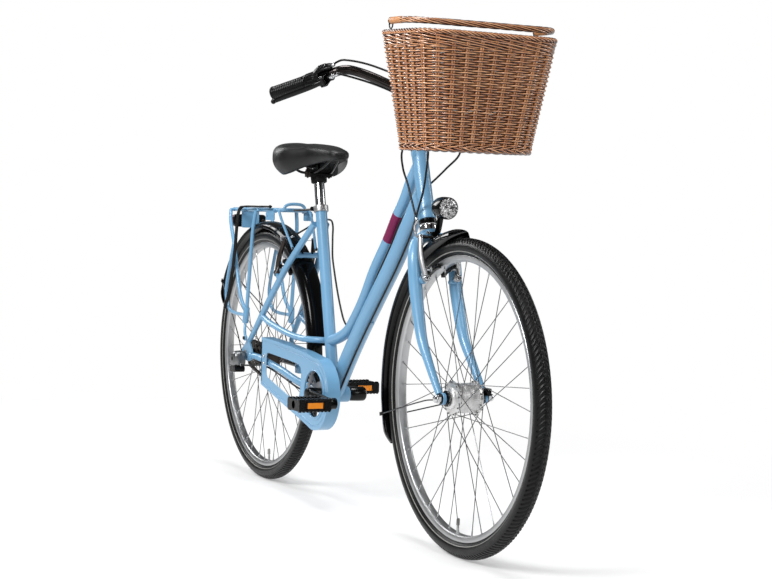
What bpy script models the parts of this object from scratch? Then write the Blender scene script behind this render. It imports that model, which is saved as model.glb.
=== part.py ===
"""City bike with a low curved frame, a willow basket, a carrier, mudguards and a chain guard.

The bike points along +X, its left side is +Y, and it stands on z = 0. The origin is on the
ground, midway between the two ends of the tyres. Positions below are written as distances
ahead of the rear axle, left of the middle and above the ground, and at() moves them.
"""
import math

import bmesh
import bpy
from mathutils import Matrix, Vector

# Room left between pieces that touch, in metres
GAP = 0.0003

# Main sizes, in metres
WHEELBASE = 1.142
TYRE_RADIUS = 0.349
TYRE_HALF_WIDTH = 0.020
RIM_OUTER = 0.3112
RIM_INNER = 0.2972
RIM_HALF_WIDTH = 0.0125
SPOKE_COUNT = 36
WHEEL_STEPS = 36
SPOKE_HALF = 0.0009
AXLE_RADIUS = 0.005
REAR_AXLE_X = -WHEELBASE / 2
AXLE_Z = TYRE_RADIUS
# Steering axis: it leans back from the upright by this slope and passes through this point
HEAD_SLOPE = 0.325
HEAD_POINT = (0.926, 0.802)
STEER_DIRECTION = Vector((-HEAD_SLOPE, 0.0, 1.0)).normalized()

# Seat tube line and bottom bracket
SEAT_SLOPE = 0.242
SEAT_FOOT = (0.457, 0.285)
SEAT_TOP_Z = 0.7625
BRACKET = (0.465, 0.285)
BRACKET_HALF = 0.034

# Drive
CHAIN_Y = -0.045
CHAINRING_TEETH = 38
SPROCKET_TEETH = 18
CHAIN_PITCH = 0.0127
CHAINRING_RADIUS = CHAIN_PITCH / (2 * math.sin(math.pi / CHAINRING_TEETH))
SPROCKET_RADIUS = CHAIN_PITCH / (2 * math.sin(math.pi / SPROCKET_TEETH))
CRANK_LENGTH = 0.175
PEDAL_INNER_Y = 0.1050
PEDAL_OUTER_Y = 0.1900

# Frame tubes
UPPER_RADIUS = 0.014
DOWN_RADIUS = 0.022
SEAT_RADIUS = 0.015
HEAD_RADIUS = 0.0185
HEAD_BORE = 0.0150
STAY_RADIUS = 0.00875
MID_STAY_RADIUS = 0.008
BAR_RADIUS = 0.011
BAR_STEPS = 12
BAR_BORE = (BAR_RADIUS + GAP) / math.cos(math.pi / BAR_STEPS)
CABLE_RADIUS = 0.0025

# Mudguards
GUARD_RADIUS = 0.370
GUARD_HALF_WIDTH = 0.0275
GUARD_SKIN = 0.002

# Basket
BASKET_BOTTOM_Z = 0.885
BASKET_TOP_Z = 1.145
BASKET_WALL = 0.006

# Straight end of the right half of the handlebar, which carries grip, shifter and lever
GRIP_START = (0.849, -0.195, 1.063)
GRIP_END = (0.712, -0.285, 1.018)
LEVER_SIDE = (0.570, -0.586, -0.576)
LEVER_AT = 0.022
LEVER_OUT = 0.0305

MATERIALS = {}
PIVOTS = {}
X_AXIS = Vector((1.0, 0.0, 0.0))
Y_AXIS = Vector((0.0, 1.0, 0.0))
Z_AXIS = Vector((0.0, 0.0, 1.0))


# Placing and shaping helpers

def at(x, y, z):
    """A point by its distance ahead of the rear axle, left of the middle and above the ground."""
    return Vector((x + REAR_AXLE_X, y, z))


def route(points):
    """A list of places as points."""
    return [at(*point) for point in points]


def smooth(points, steps):
    """Points along a smooth curve through the given points, which may be unevenly spaced."""
    ends = [points[0] * 2 - points[1]] + list(points) + [points[-1] * 2 - points[-2]]
    slopes = []
    for k in range(1, len(ends) - 1):
        reach = (ends[k + 1] - ends[k]).length + (ends[k] - ends[k - 1]).length
        slopes.append((ends[k + 1] - ends[k - 1]) / reach)
    result = []
    for k in range(len(points) - 1):
        span = (points[k + 1] - points[k]).length
        for step in range(steps):
            t = step / steps
            near = 2 * t ** 3 - 3 * t ** 2 + 1
            result.append(points[k] * near + points[k + 1] * (1 - near)
                          + slopes[k] * span * (t ** 3 - 2 * t ** 2 + t)
                          + slopes[k + 1] * span * (t ** 3 - t ** 2))
    result.append(points[-1])
    return result


def skin(rings, closed=False):
    """A closed surface over rings of points, capped at its ends unless it closes on itself."""
    bm = bmesh.new()
    loops = [[bm.verts.new(point) for point in ring] for ring in rings]
    pairs = list(zip(loops, loops[1:]))
    if closed:
        pairs.append((loops[-1], loops[0]))
    count = len(loops[0])
    for first, second in pairs:
        for k in range(count):
            m = (k + 1) % count
            bm.faces.new((first[k], first[m], second[m], second[k]))
    if not closed:
        bm.faces.new(loops[0][::-1])
        bm.faces.new(loops[-1])
    return tidy(bm)


def tidy(bm):
    """Joins points that coincide, drops bare edges and turns every face outwards."""
    bmesh.ops.remove_doubles(bm, verts=bm.verts, dist=1e-6)
    loose = [edge for edge in bm.edges if not edge.link_faces]
    bmesh.ops.delete(bm, geom=loose, context="EDGES")
    bmesh.ops.recalc_face_normals(bm, faces=bm.faces)
    return bm


def path_frames(path, across, closed):
    """The point, sideways and upward directions at each point of a path."""
    frames = []
    side = None
    count = len(path)
    for k, point in enumerate(path):
        before = path[k - 1] if k > 0 or closed else point
        after = path[(k + 1) % count] if k < count - 1 or closed else point
        along = (after - before).normalized()
        wish = across if across is not None else side
        if wish is None:
            wish = Z_AXIS if abs(along.z) < 0.9 else Y_AXIS
        side = (wish - along * wish.dot(along)).normalized()
        frames.append((point, side, along.cross(side)))
    return frames


def sweep(path, size, sides=10, across=None, closed=False):
    """A tube along a path. A size is a radius or a (half width, half height), or one per point."""
    sizes = size if isinstance(size, list) else [size] * len(path)
    rings = []
    for (point, side, up), extent in zip(path_frames(path, across, closed), sizes):
        wide, high = extent if isinstance(extent, tuple) else (extent, extent)
        ring = []
        for k in range(sides):
            angle = 2 * math.pi * (k + 0.5) / sides
            ring.append(point + side * wide * math.cos(angle) + up * high * math.sin(angle))
        rings.append(ring)
    return skin(rings, closed)


def lathe(profile, centre, axis, steps=24):
    """Turns a closed profile of (radius, distance along the axis) points about an axis."""
    axis = Vector(axis).normalized()
    wish = Z_AXIS if abs(axis.z) < 0.9 else X_AXIS
    side = (wish - axis * wish.dot(axis)).normalized()
    up = axis.cross(side)
    rings = []
    for step in range(steps):
        angle = 2 * math.pi * step / steps
        out = side * math.cos(angle) + up * math.sin(angle)
        rings.append([centre + out * radius + axis * along for radius, along in profile])
    return skin(rings, closed=True)


def rod(first, last, radius, sides=10):
    """A straight round bar."""
    return sweep([first, last], radius, sides)


def block(low, high, bevel=0.0, segments=1):
    """A box between two corners, with its edges cut off by the bevel."""
    bm = bmesh.new()
    middle = (low + high) / 2
    span = high - low
    place = Matrix.Translation(middle) @ Matrix.Diagonal((*span, 1.0))
    bmesh.ops.create_cube(bm, size=1.0, matrix=place)
    if bevel:
        bmesh.ops.bevel(bm, geom=bm.edges[:], offset=bevel, segments=segments, affect="EDGES",
                        profile=0.5)
    return tidy(bm)


def prism(outline, depth):
    """A flat outline of points pushed along the depth vector."""
    return skin([outline, [point + depth for point in outline]])


def plate(outline, y_low, y_high):
    """An upright plate from an outline of (x, z) places, between two distances from the middle."""
    points = [at(x, y_low, z) for x, z in outline]
    return prism(points, Vector((0.0, y_high - y_low, 0.0)))


def arc(x, z, radius, start, end, count):
    """Places (x, z) along an arc, with angles in degrees from forward and up."""
    result = []
    for k in range(count + 1):
        angle = math.radians(start + (end - start) * k / count)
        result.append((x + radius * math.cos(angle), z + radius * math.sin(angle)))
    return result


def boolean(base, tool, operation):
    """One closed mesh joined with, or cut by, another."""
    things = []
    for bm in (base, tool):
        mesh = bpy.data.meshes.new("piece")
        bm.to_mesh(mesh)
        bm.free()
        thing = bpy.data.objects.new("piece", mesh)
        bpy.context.scene.collection.objects.link(thing)
        things.append(thing)
    change = things[0].modifiers.new("change", "BOOLEAN")
    change.operation = operation
    change.solver = "EXACT"
    change.object = things[1]
    graph = bpy.context.evaluated_depsgraph_get()
    mesh = bpy.data.meshes.new_from_object(things[0].evaluated_get(graph))
    result = bmesh.new()
    result.from_mesh(mesh)
    bpy.data.meshes.remove(mesh)
    for thing in things:
        mesh = thing.data
        bpy.data.objects.remove(thing)
        bpy.data.meshes.remove(mesh)
    bmesh.ops.dissolve_degenerate(result, edges=result.edges, dist=2e-6)
    return result


def join(base, *tools):
    """All the pieces as one body."""
    for tool in tools:
        base = boolean(base, tool, "UNION")
    return base


def cut(base, *tools):
    """The first piece without the others."""
    for tool in tools:
        base = boolean(base, tool, "DIFFERENCE")
    return base


def main_body(bm):
    """The largest body of a mesh, without the offcuts that a cut left beside it."""
    left = set(bm.verts)
    bodies = []
    while left:
        seed = left.pop()
        found = {seed}
        queue = [seed]
        while queue:
            for edge in queue.pop().link_edges:
                for vertex in edge.verts:
                    if vertex in left:
                        left.discard(vertex)
                        found.add(vertex)
                        queue.append(vertex)
        bodies.append(found)
    bodies.sort(key=body_size)
    for body in bodies[:-1]:
        bmesh.ops.delete(bm, geom=list(body), context="VERTS")
    return bm


def body_size(vertices):
    """The diagonal of the box around some points."""
    points = [vertex.co for vertex in vertices]
    low = Vector([min(point[k] for point in points) for k in range(3)])
    high = Vector([max(point[k] for point in points) for k in range(3)])
    return (high - low).length


# Materials, bodies and objects

def add_material(name, colour, roughness, metallic):
    material = bpy.data.materials.new(name)
    material.use_nodes = True
    shader = material.node_tree.nodes["Principled BSDF"]
    shader.inputs["Base Color"].default_value = (*colour, 1.0)
    shader.inputs["Roughness"].default_value = roughness
    shader.inputs["Metallic"].default_value = metallic
    material.diffuse_color = (*colour, 1.0)
    MATERIALS[name] = material


def add_materials():
    add_material("blue_paint", (0.23, 0.48, 0.68), 0.28, 0.1)
    add_material("black_plastic", (0.02, 0.02, 0.022), 0.45, 0.0)
    add_material("black_rubber", (0.025, 0.025, 0.025), 0.75, 0.0)
    add_material("grey_bar", (0.10, 0.09, 0.09), 0.35, 0.6)
    add_material("bright_metal", (0.72, 0.73, 0.75), 0.22, 1.0)
    add_material("dull_metal", (0.45, 0.46, 0.48), 0.45, 1.0)
    add_material("black_metal", (0.03, 0.03, 0.032), 0.35, 0.7)
    add_material("willow", (0.38, 0.17, 0.08), 0.55, 0.0)
    add_material("saddle_skin", (0.05, 0.05, 0.055), 0.6, 0.0)
    add_material("red_lens", (0.45, 0.03, 0.02), 0.2, 0.0)


def add_body(name, pivot, carrier=None):
    """An empty on a joint's axis, which carries the pieces that turn there."""
    empty = bpy.data.objects.new(name + "_axis", None)
    empty.location = pivot
    bpy.context.scene.collection.objects.link(empty)
    if carrier:
        empty.parent = PIVOTS[carrier]
        empty.matrix_parent_inverse = Matrix.Translation(-place_of(PIVOTS[carrier]))
    empty["place"] = tuple(pivot)
    PIVOTS[name] = empty


def place_of(empty):
    return Vector(empty["place"])


def add_solid(name, bm, material, body=None):
    """One named object from a closed mesh."""
    tidy(bm)
    mesh = bpy.data.meshes.new(name)
    bm.to_mesh(mesh)
    bm.free()
    mesh.materials.append(MATERIALS[material])
    mesh.shade_smooth()
    mesh.set_sharp_from_angle(angle=math.radians(35))
    thing = bpy.data.objects.new(name, mesh)
    bpy.context.scene.collection.objects.link(thing)
    if body:
        empty = PIVOTS[body]
        thing.parent = empty
        thing.matrix_parent_inverse = Matrix.Translation(-place_of(empty))


def add_cable(name, points, material, body=None):
    """A cable as a curve of straight runs between closely spaced points, with filled ends."""
    curve = bpy.data.curves.new(name, "CURVE")
    curve.dimensions = "3D"
    curve.bevel_depth = CABLE_RADIUS
    curve.bevel_resolution = 2
    curve.use_fill_caps = True
    path = smooth(points, 2)
    spline = curve.splines.new("POLY")
    spline.points.add(len(path) - 1)
    for spot, point in zip(spline.points, path):
        spot.co = (*point, 1.0)
    curve.materials.append(MATERIALS[material])
    thing = bpy.data.objects.new(name, curve)
    bpy.context.scene.collection.objects.link(thing)
    if body:
        empty = PIVOTS[body]
        thing.parent = empty
        thing.matrix_parent_inverse = Matrix.Translation(-place_of(empty))


# Steering axis and handlebar directions

def on_steering(z):
    """The point of the steering axis at a height."""
    return at(HEAD_POINT[0] + HEAD_SLOPE * (HEAD_POINT[1] - z), 0.0, z)


def steer_along(z):
    """The distance along the steering axis from its reference point to a height."""
    return (z - HEAD_POINT[1]) / STEER_DIRECTION.z


def on_seat_tube(z):
    """The point of the seat tube's middle line at a height."""
    return at(SEAT_FOOT[0] - SEAT_SLOPE * (z - SEAT_FOOT[1]), 0.0, z)


def grip_frame(side):
    """Start of the straight bar end, and the outward, lever-side and hinge directions there."""
    start = at(*GRIP_START)
    end = at(*GRIP_END)
    lever = Vector(LEVER_SIDE)
    if side > 0:
        for value in (start, end, lever):
            value.y = -value.y
    out = (end - start).normalized()
    lever = (lever - out * lever.dot(out)).normalized()
    return start, out, lever, out.cross(lever)


# Frame

def head_tube_shape(extra=0.0, bore=HEAD_BORE):
    radius = HEAD_RADIUS + extra
    outer = [(radius + 0.0015, 0.735), (radius + 0.0003, 0.755), (radius, 0.775),
             (radius, 0.872), (radius + 0.001, 0.890)]
    profile = [(r, steer_along(z)) for r, z in outer]
    profile.append((bore, steer_along(0.890)))
    profile.append((bore, steer_along(0.735)))
    return lathe(profile, at(HEAD_POINT[0], 0, HEAD_POINT[1]), STEER_DIRECTION, 16)


def seat_tube_shape(extra=0.0):
    tube = rod(on_seat_tube(BRACKET[1]), on_seat_tube(SEAT_TOP_Z), SEAT_RADIUS + extra, 16)
    shell = rod(at(BRACKET[0], -BRACKET_HALF, BRACKET[1]), at(BRACKET[0], BRACKET_HALF, BRACKET[1]),
                0.020 + extra, 16)
    return join(tube, shell)


def upper_tube_points():
    places = [(0.9046, 0.868), (0.864, 0.825), (0.830, 0.779), (0.793, 0.739), (0.748, 0.684),
              (0.678, 0.610), (0.620, 0.534), (0.568, 0.481), (0.531, 0.451), (0.477, 0.430),
              (0.424, 0.418)]
    return [at(x, 0.0, z) for x, z in places]


def down_tube_points():
    places = [(0.922, 0.800), (0.895, 0.765), (0.853, 0.712), (0.789, 0.638), (0.688, 0.537),
              (0.583, 0.430), (0.490, 0.324), (0.466, 0.292)]
    return [at(x, 0.0, z) for x, z in places]


def seat_stay_points(side):
    places = [(0.341, 0.0165, 0.716), (0.335, 0.018, 0.710), (0.2175, 0.045, 0.591),
              (0.018, 0.062, 0.389)]
    return [at(x, side * y, z) for x, y, z in places]


def seat_stay_shape(side, extra=0.0):
    return sweep(seat_stay_points(side), STAY_RADIUS + extra, 10, across=Y_AXIS)


def dropout_shape(side, extra=0.0):
    outline = [(-0.030, 0.338), (0.020, 0.330), (0.046, 0.338), (0.046, 0.360), (0.024, 0.385),
               (0.008, 0.392), (-0.006, 0.376), (-0.030, 0.362)]
    middle_x = sum(x for x, z in outline) / len(outline)
    middle_z = sum(z for x, z in outline) / len(outline)
    grown = []
    for x, z in outline:
        reach = math.hypot(x - middle_x, z - middle_z)
        share = 1 + 1.4 * extra / reach
        grown.append((middle_x + (x - middle_x) * share, middle_z + (z - middle_z) * share))
    inner = 0.0625 - extra
    outer = 0.0675 + extra
    low, high = sorted((side * inner, side * outer))
    return plate(grown, low, high)


def chain_stay_points(side):
    places = [(0.030, 0.0630, 0.3480), (0.060, 0.0580, 0.3465), (0.100, 0.0510, 0.3410),
              (0.160, 0.0485, 0.3320), (0.226, 0.0465, 0.3220), (0.300, 0.0400, 0.3050),
              (0.345, 0.0330, 0.2970), (0.385, 0.0285, 0.2910), (0.450, 0.0255, 0.2850)]
    return [at(x, side * y, z) for x, y, z in places]


def add_frame():
    add_solid("head_tube", head_tube_shape(), "blue_paint")
    seat = cut(seat_tube_shape(),
               rod(on_seat_tube(0.600), on_seat_tube(SEAT_TOP_Z + 0.010), SEAT_RADIUS - 0.0012, 16),
               rod(at(BRACKET[0], -0.05, BRACKET[1]), at(BRACKET[0], 0.05, BRACKET[1]), 0.0092, 12))
    add_solid("seat_tube", seat, "blue_paint")
    upper = sweep(upper_tube_points(), UPPER_RADIUS, 10, across=Y_AXIS)
    upper = main_body(cut(upper, head_tube_shape(GAP, 0.001), seat_tube_shape(GAP)))
    add_solid("upper_tube", upper, "blue_paint")
    points = down_tube_points()
    sizes = [(0.0172, DOWN_RADIUS), (0.0195, DOWN_RADIUS)] + [DOWN_RADIUS] * (len(points) - 2)
    down = sweep(points, sizes, 12, across=Y_AXIS)
    down = main_body(cut(down, head_tube_shape(GAP, 0.001), seat_tube_shape(GAP)))
    add_solid("down_tube", down, "blue_paint")
    for side, word in ((-1, "right"), (1, "left")):
        add_chain_stay(side, word)
        stay = cut(seat_stay_shape(side), seat_tube_shape(GAP), dropout_shape(side, GAP))
        add_solid("seat_stay_" + word, stay, "blue_paint")
    add_mid_stays()
    bridge = rod(at(0.256, -0.0365, 0.632), at(0.256, 0.0365, 0.632), 0.0075, 12)
    bridge = main_body(cut(bridge, seat_stay_shape(-1, GAP), seat_stay_shape(1, GAP)))
    add_solid("stay_bridge", bridge, "blue_paint")


def add_chain_stay(side, word):
    points = chain_stay_points(side)
    count = len(points) - 1
    sizes = []
    for k in range(count + 1):
        share = k / count
        sizes.append((0.0075 + 0.0010 * math.sin(math.pi * share), 0.0085 + 0.0028 * share))
    stay = sweep(points, sizes, 10, across=Y_AXIS)
    axle_slot = block(at(-0.040, side * 0.065 - 0.01, AXLE_Z - 0.0054),
                      at(0.0, side * 0.065 + 0.01, AXLE_Z + 0.0054))
    axle_hole = rod(at(0, side * 0.050, AXLE_Z), at(0, side * 0.080, AXLE_Z), 0.0054, 12)
    stay = cut(join(stay, dropout_shape(side)), axle_slot, axle_hole)
    if side > 0:
        pivot, axis = stand_axis()
        lug = block(pivot + Vector((-0.013, -0.0290, -0.012)), pivot + Vector((0.013, -0.0045, 0.026)))
        stay = join(stay, lug)
        stay = cut(stay, rod(pivot - axis * 0.045, pivot + axis * 0.020, 0.0043, 12))
    stay = cut(stay, seat_tube_shape(GAP))
    add_solid("chain_stay_" + word, stay, "blue_paint")


def add_mid_stays():
    half = [(0.090, 0.0565, 0.462), (0.130, 0.0550, 0.448), (0.175, 0.0520, 0.438),
            (0.260, 0.0465, 0.424), (0.330, 0.0410, 0.4178), (0.356, 0.0360, 0.4175),
            (0.378, 0.0245, 0.4175), (0.390, 0.0110, 0.4175)]
    places = [(x, -y, z) for x, y, z in half] + [(0.393, 0.0, 0.4175)]
    places += [(x, y, z) for x, y, z in reversed(half)]
    tube = sweep(route(places), MID_STAY_RADIUS, 8, across=Z_AXIS)
    socket = rod(at(0.390, 0.0, 0.4175), at(0.420, 0.0, 0.4175), 0.0065, 8)
    tube = join(tube, socket)
    tube = cut(tube, seat_tube_shape(GAP), seat_stay_shape(-1, GAP), seat_stay_shape(1, GAP))
    tube = main_body(tube)
    add_solid("mid_stays", tube, "blue_paint")


# Saddle

def saddle_half_widths():
    """Stations along the saddle: distance ahead, half width, top height and lower edge height."""
    return [(0.1760, 0.052, 0.9130, 0.8770), (0.1810, 0.064, 0.9215, 0.8660),
            (0.1950, 0.078, 0.9270, 0.8530), (0.2150, 0.0875, 0.9290, 0.8460),
            (0.2400, 0.0955, 0.9285, 0.8425), (0.2650, 0.0990, 0.9270, 0.8425),
            (0.2900, 0.0965, 0.9250, 0.8460), (0.3150, 0.084, 0.9225, 0.8540),
            (0.3400, 0.067, 0.9205, 0.8620), (0.3650, 0.051, 0.9180, 0.8680),
            (0.3950, 0.040, 0.9145, 0.8730), (0.4250, 0.033, 0.9105, 0.8765),
            (0.4500, 0.027, 0.9050, 0.8785), (0.4620, 0.019, 0.8990, 0.8815),
            (0.4660, 0.009, 0.8930, 0.8845)]


def saddle_ring(x, half, top, low, sides=16):
    """One cross-section: a crowned top, full shoulders and sides drawn in below them."""
    ring = []
    reach = top - low
    for k in range(sides + 1):
        angle = math.pi * k / sides
        across = math.cos(angle)
        drawn_in = 1.0 - 0.18 * max(0.0, 1.0 - 2.4 * math.sin(angle))
        y = half * drawn_in * math.copysign(abs(across) ** 0.62, across)
        z = low + reach * abs(math.sin(angle)) ** 0.55
        ring.append(at(x, y, z))
    ring.append(at(x, -half * 0.62, low + 0.0015))
    ring.append(at(x, half * 0.62, low + 0.0015))
    return ring


def saddle_plate_outline(scale):
    stations = saddle_half_widths()[1:-1:2]
    inset = (1 - scale) * 0.5
    right = [at(x + (0.30 - x) * inset, -half * scale, 0.0) for x, half, top, low in stations]
    left = [at(x + (0.30 - x) * inset, half * scale, 0.0) for x, half, top, low in reversed(stations)]
    return right + left


def lifted(points, z):
    return [Vector((point.x, point.y, z)) for point in points]


def add_saddle():
    cover = skin([saddle_ring(*station) for station in saddle_half_widths()])
    hollow = prism(lifted(saddle_plate_outline(0.76), 0.838), Vector((0, 0, 0.0495)))
    add_solid("saddle_cover", cut(cover, hollow), "saddle_skin")

    clamp = on_seat_tube(0.848)
    tray = prism(lifted(saddle_plate_outline(0.74), 0.8835), Vector((0, 0, 0.0035)))
    pieces = []
    for side in (-1, 1):
        rail = route([(0.206, side * 0.043, 0.884), (0.226, side * 0.041, 0.872),
                      (0.262, side * 0.030, 0.853), (0.300, side * 0.022, 0.848),
                      (0.345, side * 0.022, 0.848), (0.385, side * 0.016, 0.862),
                      (0.425, side * 0.010, 0.884)])
        pieces.append(sweep(rail, 0.0035, 6, across=Y_AXIS))
    cup = block(Vector((clamp.x - 0.020, -0.030, 0.838)), Vector((clamp.x + 0.020, 0.030, 0.858)))
    rear = block(at(0.203, -0.036, 0.866), at(0.222, 0.036, 0.886))
    base = join(tray, pieces[0], pieces[1], rear, cup)
    post_room = rod(on_seat_tube(0.780), on_seat_tube(0.8503), 0.0135 + GAP, 14)
    add_solid("saddle_base", cut(base, post_room), "black_plastic")

    post = rod(on_seat_tube(0.605), on_seat_tube(0.850), 0.0135, 14)
    add_solid("seat_post", post, "bright_metal")

    top = on_seat_tube(0.7550)
    along = (on_seat_tube(0.74) - on_seat_tube(0.73)).normalized()
    ring = [(SEAT_RADIUS + GAP, -0.008), (0.0190, -0.008), (0.0190, 0.008), (SEAT_RADIUS + GAP, 0.008)]
    collar = lathe(ring, top, along, 16)
    ears = block(top + Vector((-0.033, -0.009, -0.006)), top + Vector((-0.0175, 0.009, 0.006)))
    bolt = rod(top + Vector((-0.027, -0.018, 0)), top + Vector((-0.027, 0.019, 0)), 0.0050, 6)
    head = rod(top + Vector((-0.027, -0.021, 0)), top + Vector((-0.027, -0.014, 0)), 0.0065, 6)
    add_solid("seat_clamp", join(collar, ears, bolt, head), "black_metal")


# Wheels

def wheel_point(axle_x, radius, angle, y):
    return at(axle_x + radius * math.cos(angle), y, AXLE_Z + radius * math.sin(angle))


def spokes_shape(axle_x, flange_radius, outer_y, inner_y):
    """Crossed spokes on a thin ring of nipples inside the rim, as one body."""
    ring_outer = RIM_INNER - 0.0004
    ring_inner = ring_outer - 0.0018
    reach = SPOKE_HALF / ring_inner
    corners = [(ring_outer, 0.0), (ring_inner, SPOKE_HALF), (ring_inner, -SPOKE_HALF)]
    bm = bmesh.new()
    rings = []
    for k in range(SPOKE_COUNT):
        middle = 2 * math.pi * k / SPOKE_COUNT
        for angle in (middle - reach, middle + reach):
            rings.append([bm.verts.new(wheel_point(axle_x, r, angle, y)) for r, y in corners])
    for k in range(len(rings)):
        first = rings[k]
        second = rings[(k + 1) % len(rings)]
        for j in (0, 2) if k % 2 == 0 else (0, 1, 2):
            m = (j + 1) % 3
            bm.faces.new((first[j], first[m], second[m], second[j]))
    for k in range(SPOKE_COUNT):
        side = 1 if k % 2 == 0 else -1
        leading = 1 if (k // 2) % 2 == 0 else -1
        y = side * (outer_y if leading > 0 else inner_y)
        rim_angle = 2 * math.pi * k / SPOKE_COUNT
        hub = wheel_point(axle_x, flange_radius, rim_angle + leading * math.radians(60), y)
        rim = wheel_point(axle_x, ring_inner, rim_angle, 0.0)
        turn = Vector((-math.sin(rim_angle), 0.0, math.cos(rim_angle)))
        run = (rim - hub).normalized()
        wide = (turn - run * turn.dot(run))
        wide.y = 0.0
        wide.normalize()
        before, after = rings[2 * k], rings[2 * k + 1]
        base = [before[1], before[2], after[2], after[1]]
        signs = [(-1, 1), (-1, -1), (1, -1), (1, 1)]
        tip = [bm.verts.new(hub + wide * SPOKE_HALF * s + Y_AXIS * SPOKE_HALF * t) for s, t in signs]
        for j in range(4):
            m = (j + 1) % 4
            bm.faces.new((base[j], base[m], tip[m], tip[j]))
        bm.faces.new(tip)
    return tidy(bm)


def add_wheel(word, axle_x, hub_profile, hub_material, flange_radius, outer_y, inner_y):
    body = word + "_wheel"
    centre = at(axle_x, 0.0, AXLE_Z)
    half = TYRE_HALF_WIDTH
    top = TYRE_RADIUS
    tyre = [(top, 0.0), (top - 0.006, 0.70 * half), (top - 0.020, half),
            (RIM_OUTER + GAP, 0.60 * half)]
    tyre += [(r, -y) for r, y in reversed(tyre[1:])]
    add_solid(word + "_tyre", lathe(tyre, centre, Y_AXIS, WHEEL_STEPS), "black_rubber", body)
    rim = [(RIM_OUTER, RIM_HALF_WIDTH), (RIM_INNER, 0.009)]
    rim += [(r, -y) for r, y in reversed(rim)]
    add_solid(word + "_rim", lathe(rim, centre, Y_AXIS, WHEEL_STEPS), "bright_metal", body)
    spokes = spokes_shape(axle_x, flange_radius, outer_y, inner_y)
    add_solid(word + "_spokes", spokes, "bright_metal", body)
    bore = [(AXLE_RADIUS + 0.0005, hub_profile[-1][1]), (AXLE_RADIUS + 0.0005, hub_profile[0][1])]
    add_solid(word + "_hub", lathe(hub_profile + bore, centre, Y_AXIS, 10), hub_material, body)


def add_wheels():
    front = [(0.010, -0.0455), (0.011, -0.038), (0.022, -0.036), (0.024, -0.0292),
             (0.0385, -0.0292), (0.0385, -0.0262), (0.0325, -0.0262), (0.0325, 0.0262),
             (0.0385, 0.0262), (0.0385, 0.0292), (0.024, 0.0292), (0.022, 0.036),
             (0.011, 0.038), (0.010, 0.0455)]
    add_wheel("front", WHEELBASE, front, "bright_metal", 0.0360, 0.0317, 0.0236)
    rear = [(0.010, -0.0605), (0.010, -0.0500), (0.0170, -0.0490), (0.0170, -0.0380),
            (0.0240, -0.0360), (0.0260, -0.0292), (0.0340, -0.0292), (0.0340, -0.0262),
            (0.0280, -0.0262), (0.0280, 0.0262), (0.0340, 0.0262), (0.0340, 0.0292),
            (0.0260, 0.0292), (0.0220, 0.0450), (0.0120, 0.0480), (0.0100, 0.0605)]
    add_wheel("rear", 0.0, rear, "black_metal", 0.0315, 0.0317, 0.0236)
    axle = [(0.0, -0.0745), (AXLE_RADIUS, -0.0745), (AXLE_RADIUS, -0.0660), (0.0085, -0.0660),
            (0.0085, -0.0559), (AXLE_RADIUS, -0.0559), (AXLE_RADIUS, 0.0559), (0.0085, 0.0559),
            (0.0085, 0.0660), (AXLE_RADIUS, 0.0660), (AXLE_RADIUS, 0.0745), (0.0, 0.0745)]
    add_solid("front_axle", lathe(axle, at(WHEELBASE, 0, AXLE_Z), Y_AXIS, 8), "dull_metal",
              "steering")
    axle = [(0.0, -0.0765), (0.0090, -0.0765), (0.0090, -0.0679), (AXLE_RADIUS, -0.0679),
            (AXLE_RADIUS, 0.0679), (0.0090, 0.0679), (0.0090, 0.0760), (AXLE_RADIUS, 0.0760),
            (AXLE_RADIUS, 0.0830), (0.0, 0.0830)]
    add_solid("rear_axle", lathe(axle, at(0, 0, AXLE_Z), Y_AXIS, 8), "dull_metal")


# Drive

def gear_shape(x, z, teeth, radius, bore, low, high):
    """A flat toothed wheel with a hole for its boss."""
    outer = []
    for k in range(teeth):
        for share, reach in ((-0.24, -0.0034), (0.0, 0.0014), (0.24, -0.0034)):
            angle = 2 * math.pi * (k + share) / teeth
            outer.append((x + (radius + reach) * math.cos(angle),
                          z + (radius + reach) * math.sin(angle)))
    return cut(plate(outer, low, high), rod(at(x, low - 0.01, z), at(x, high + 0.01, z), bore, 16))


def chain_shape():
    """The chain's outer shape, a loop that is open inwards where the teeth go in."""
    span_x = BRACKET[0]
    span_z = BRACKET[1] - AXLE_Z
    length = math.hypot(span_x, span_z)
    slant = math.atan2(span_z, span_x)
    lean = math.acos((SPROCKET_RADIUS - CHAINRING_RADIUS) / length)
    stops = []
    for k in range(9):
        angle = slant + lean + (2 * math.pi - 2 * lean) * k / 8
        stops.append((0.0, AXLE_Z, SPROCKET_RADIUS, angle))
    for k in range(15):
        angle = slant - lean + 2 * lean * k / 14
        stops.append((BRACKET[0], BRACKET[1], CHAINRING_RADIUS, angle))
    section = [(-0.004, -0.0035), (0.004, -0.0035), (0.004, 0.0035), (-0.004, 0.0035),
               (-0.004, 0.0017), (0.0026, 0.0017), (0.0026, -0.0017), (-0.004, -0.0017)]
    rings = []
    for x, z, radius, angle in stops:
        ring = []
        for out, y in section:
            reach = radius + out
            ring.append(at(x + reach * math.cos(angle), CHAIN_Y + y, z + reach * math.sin(angle)))
        rings.append(ring)
    return skin(rings, closed=True)


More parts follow.
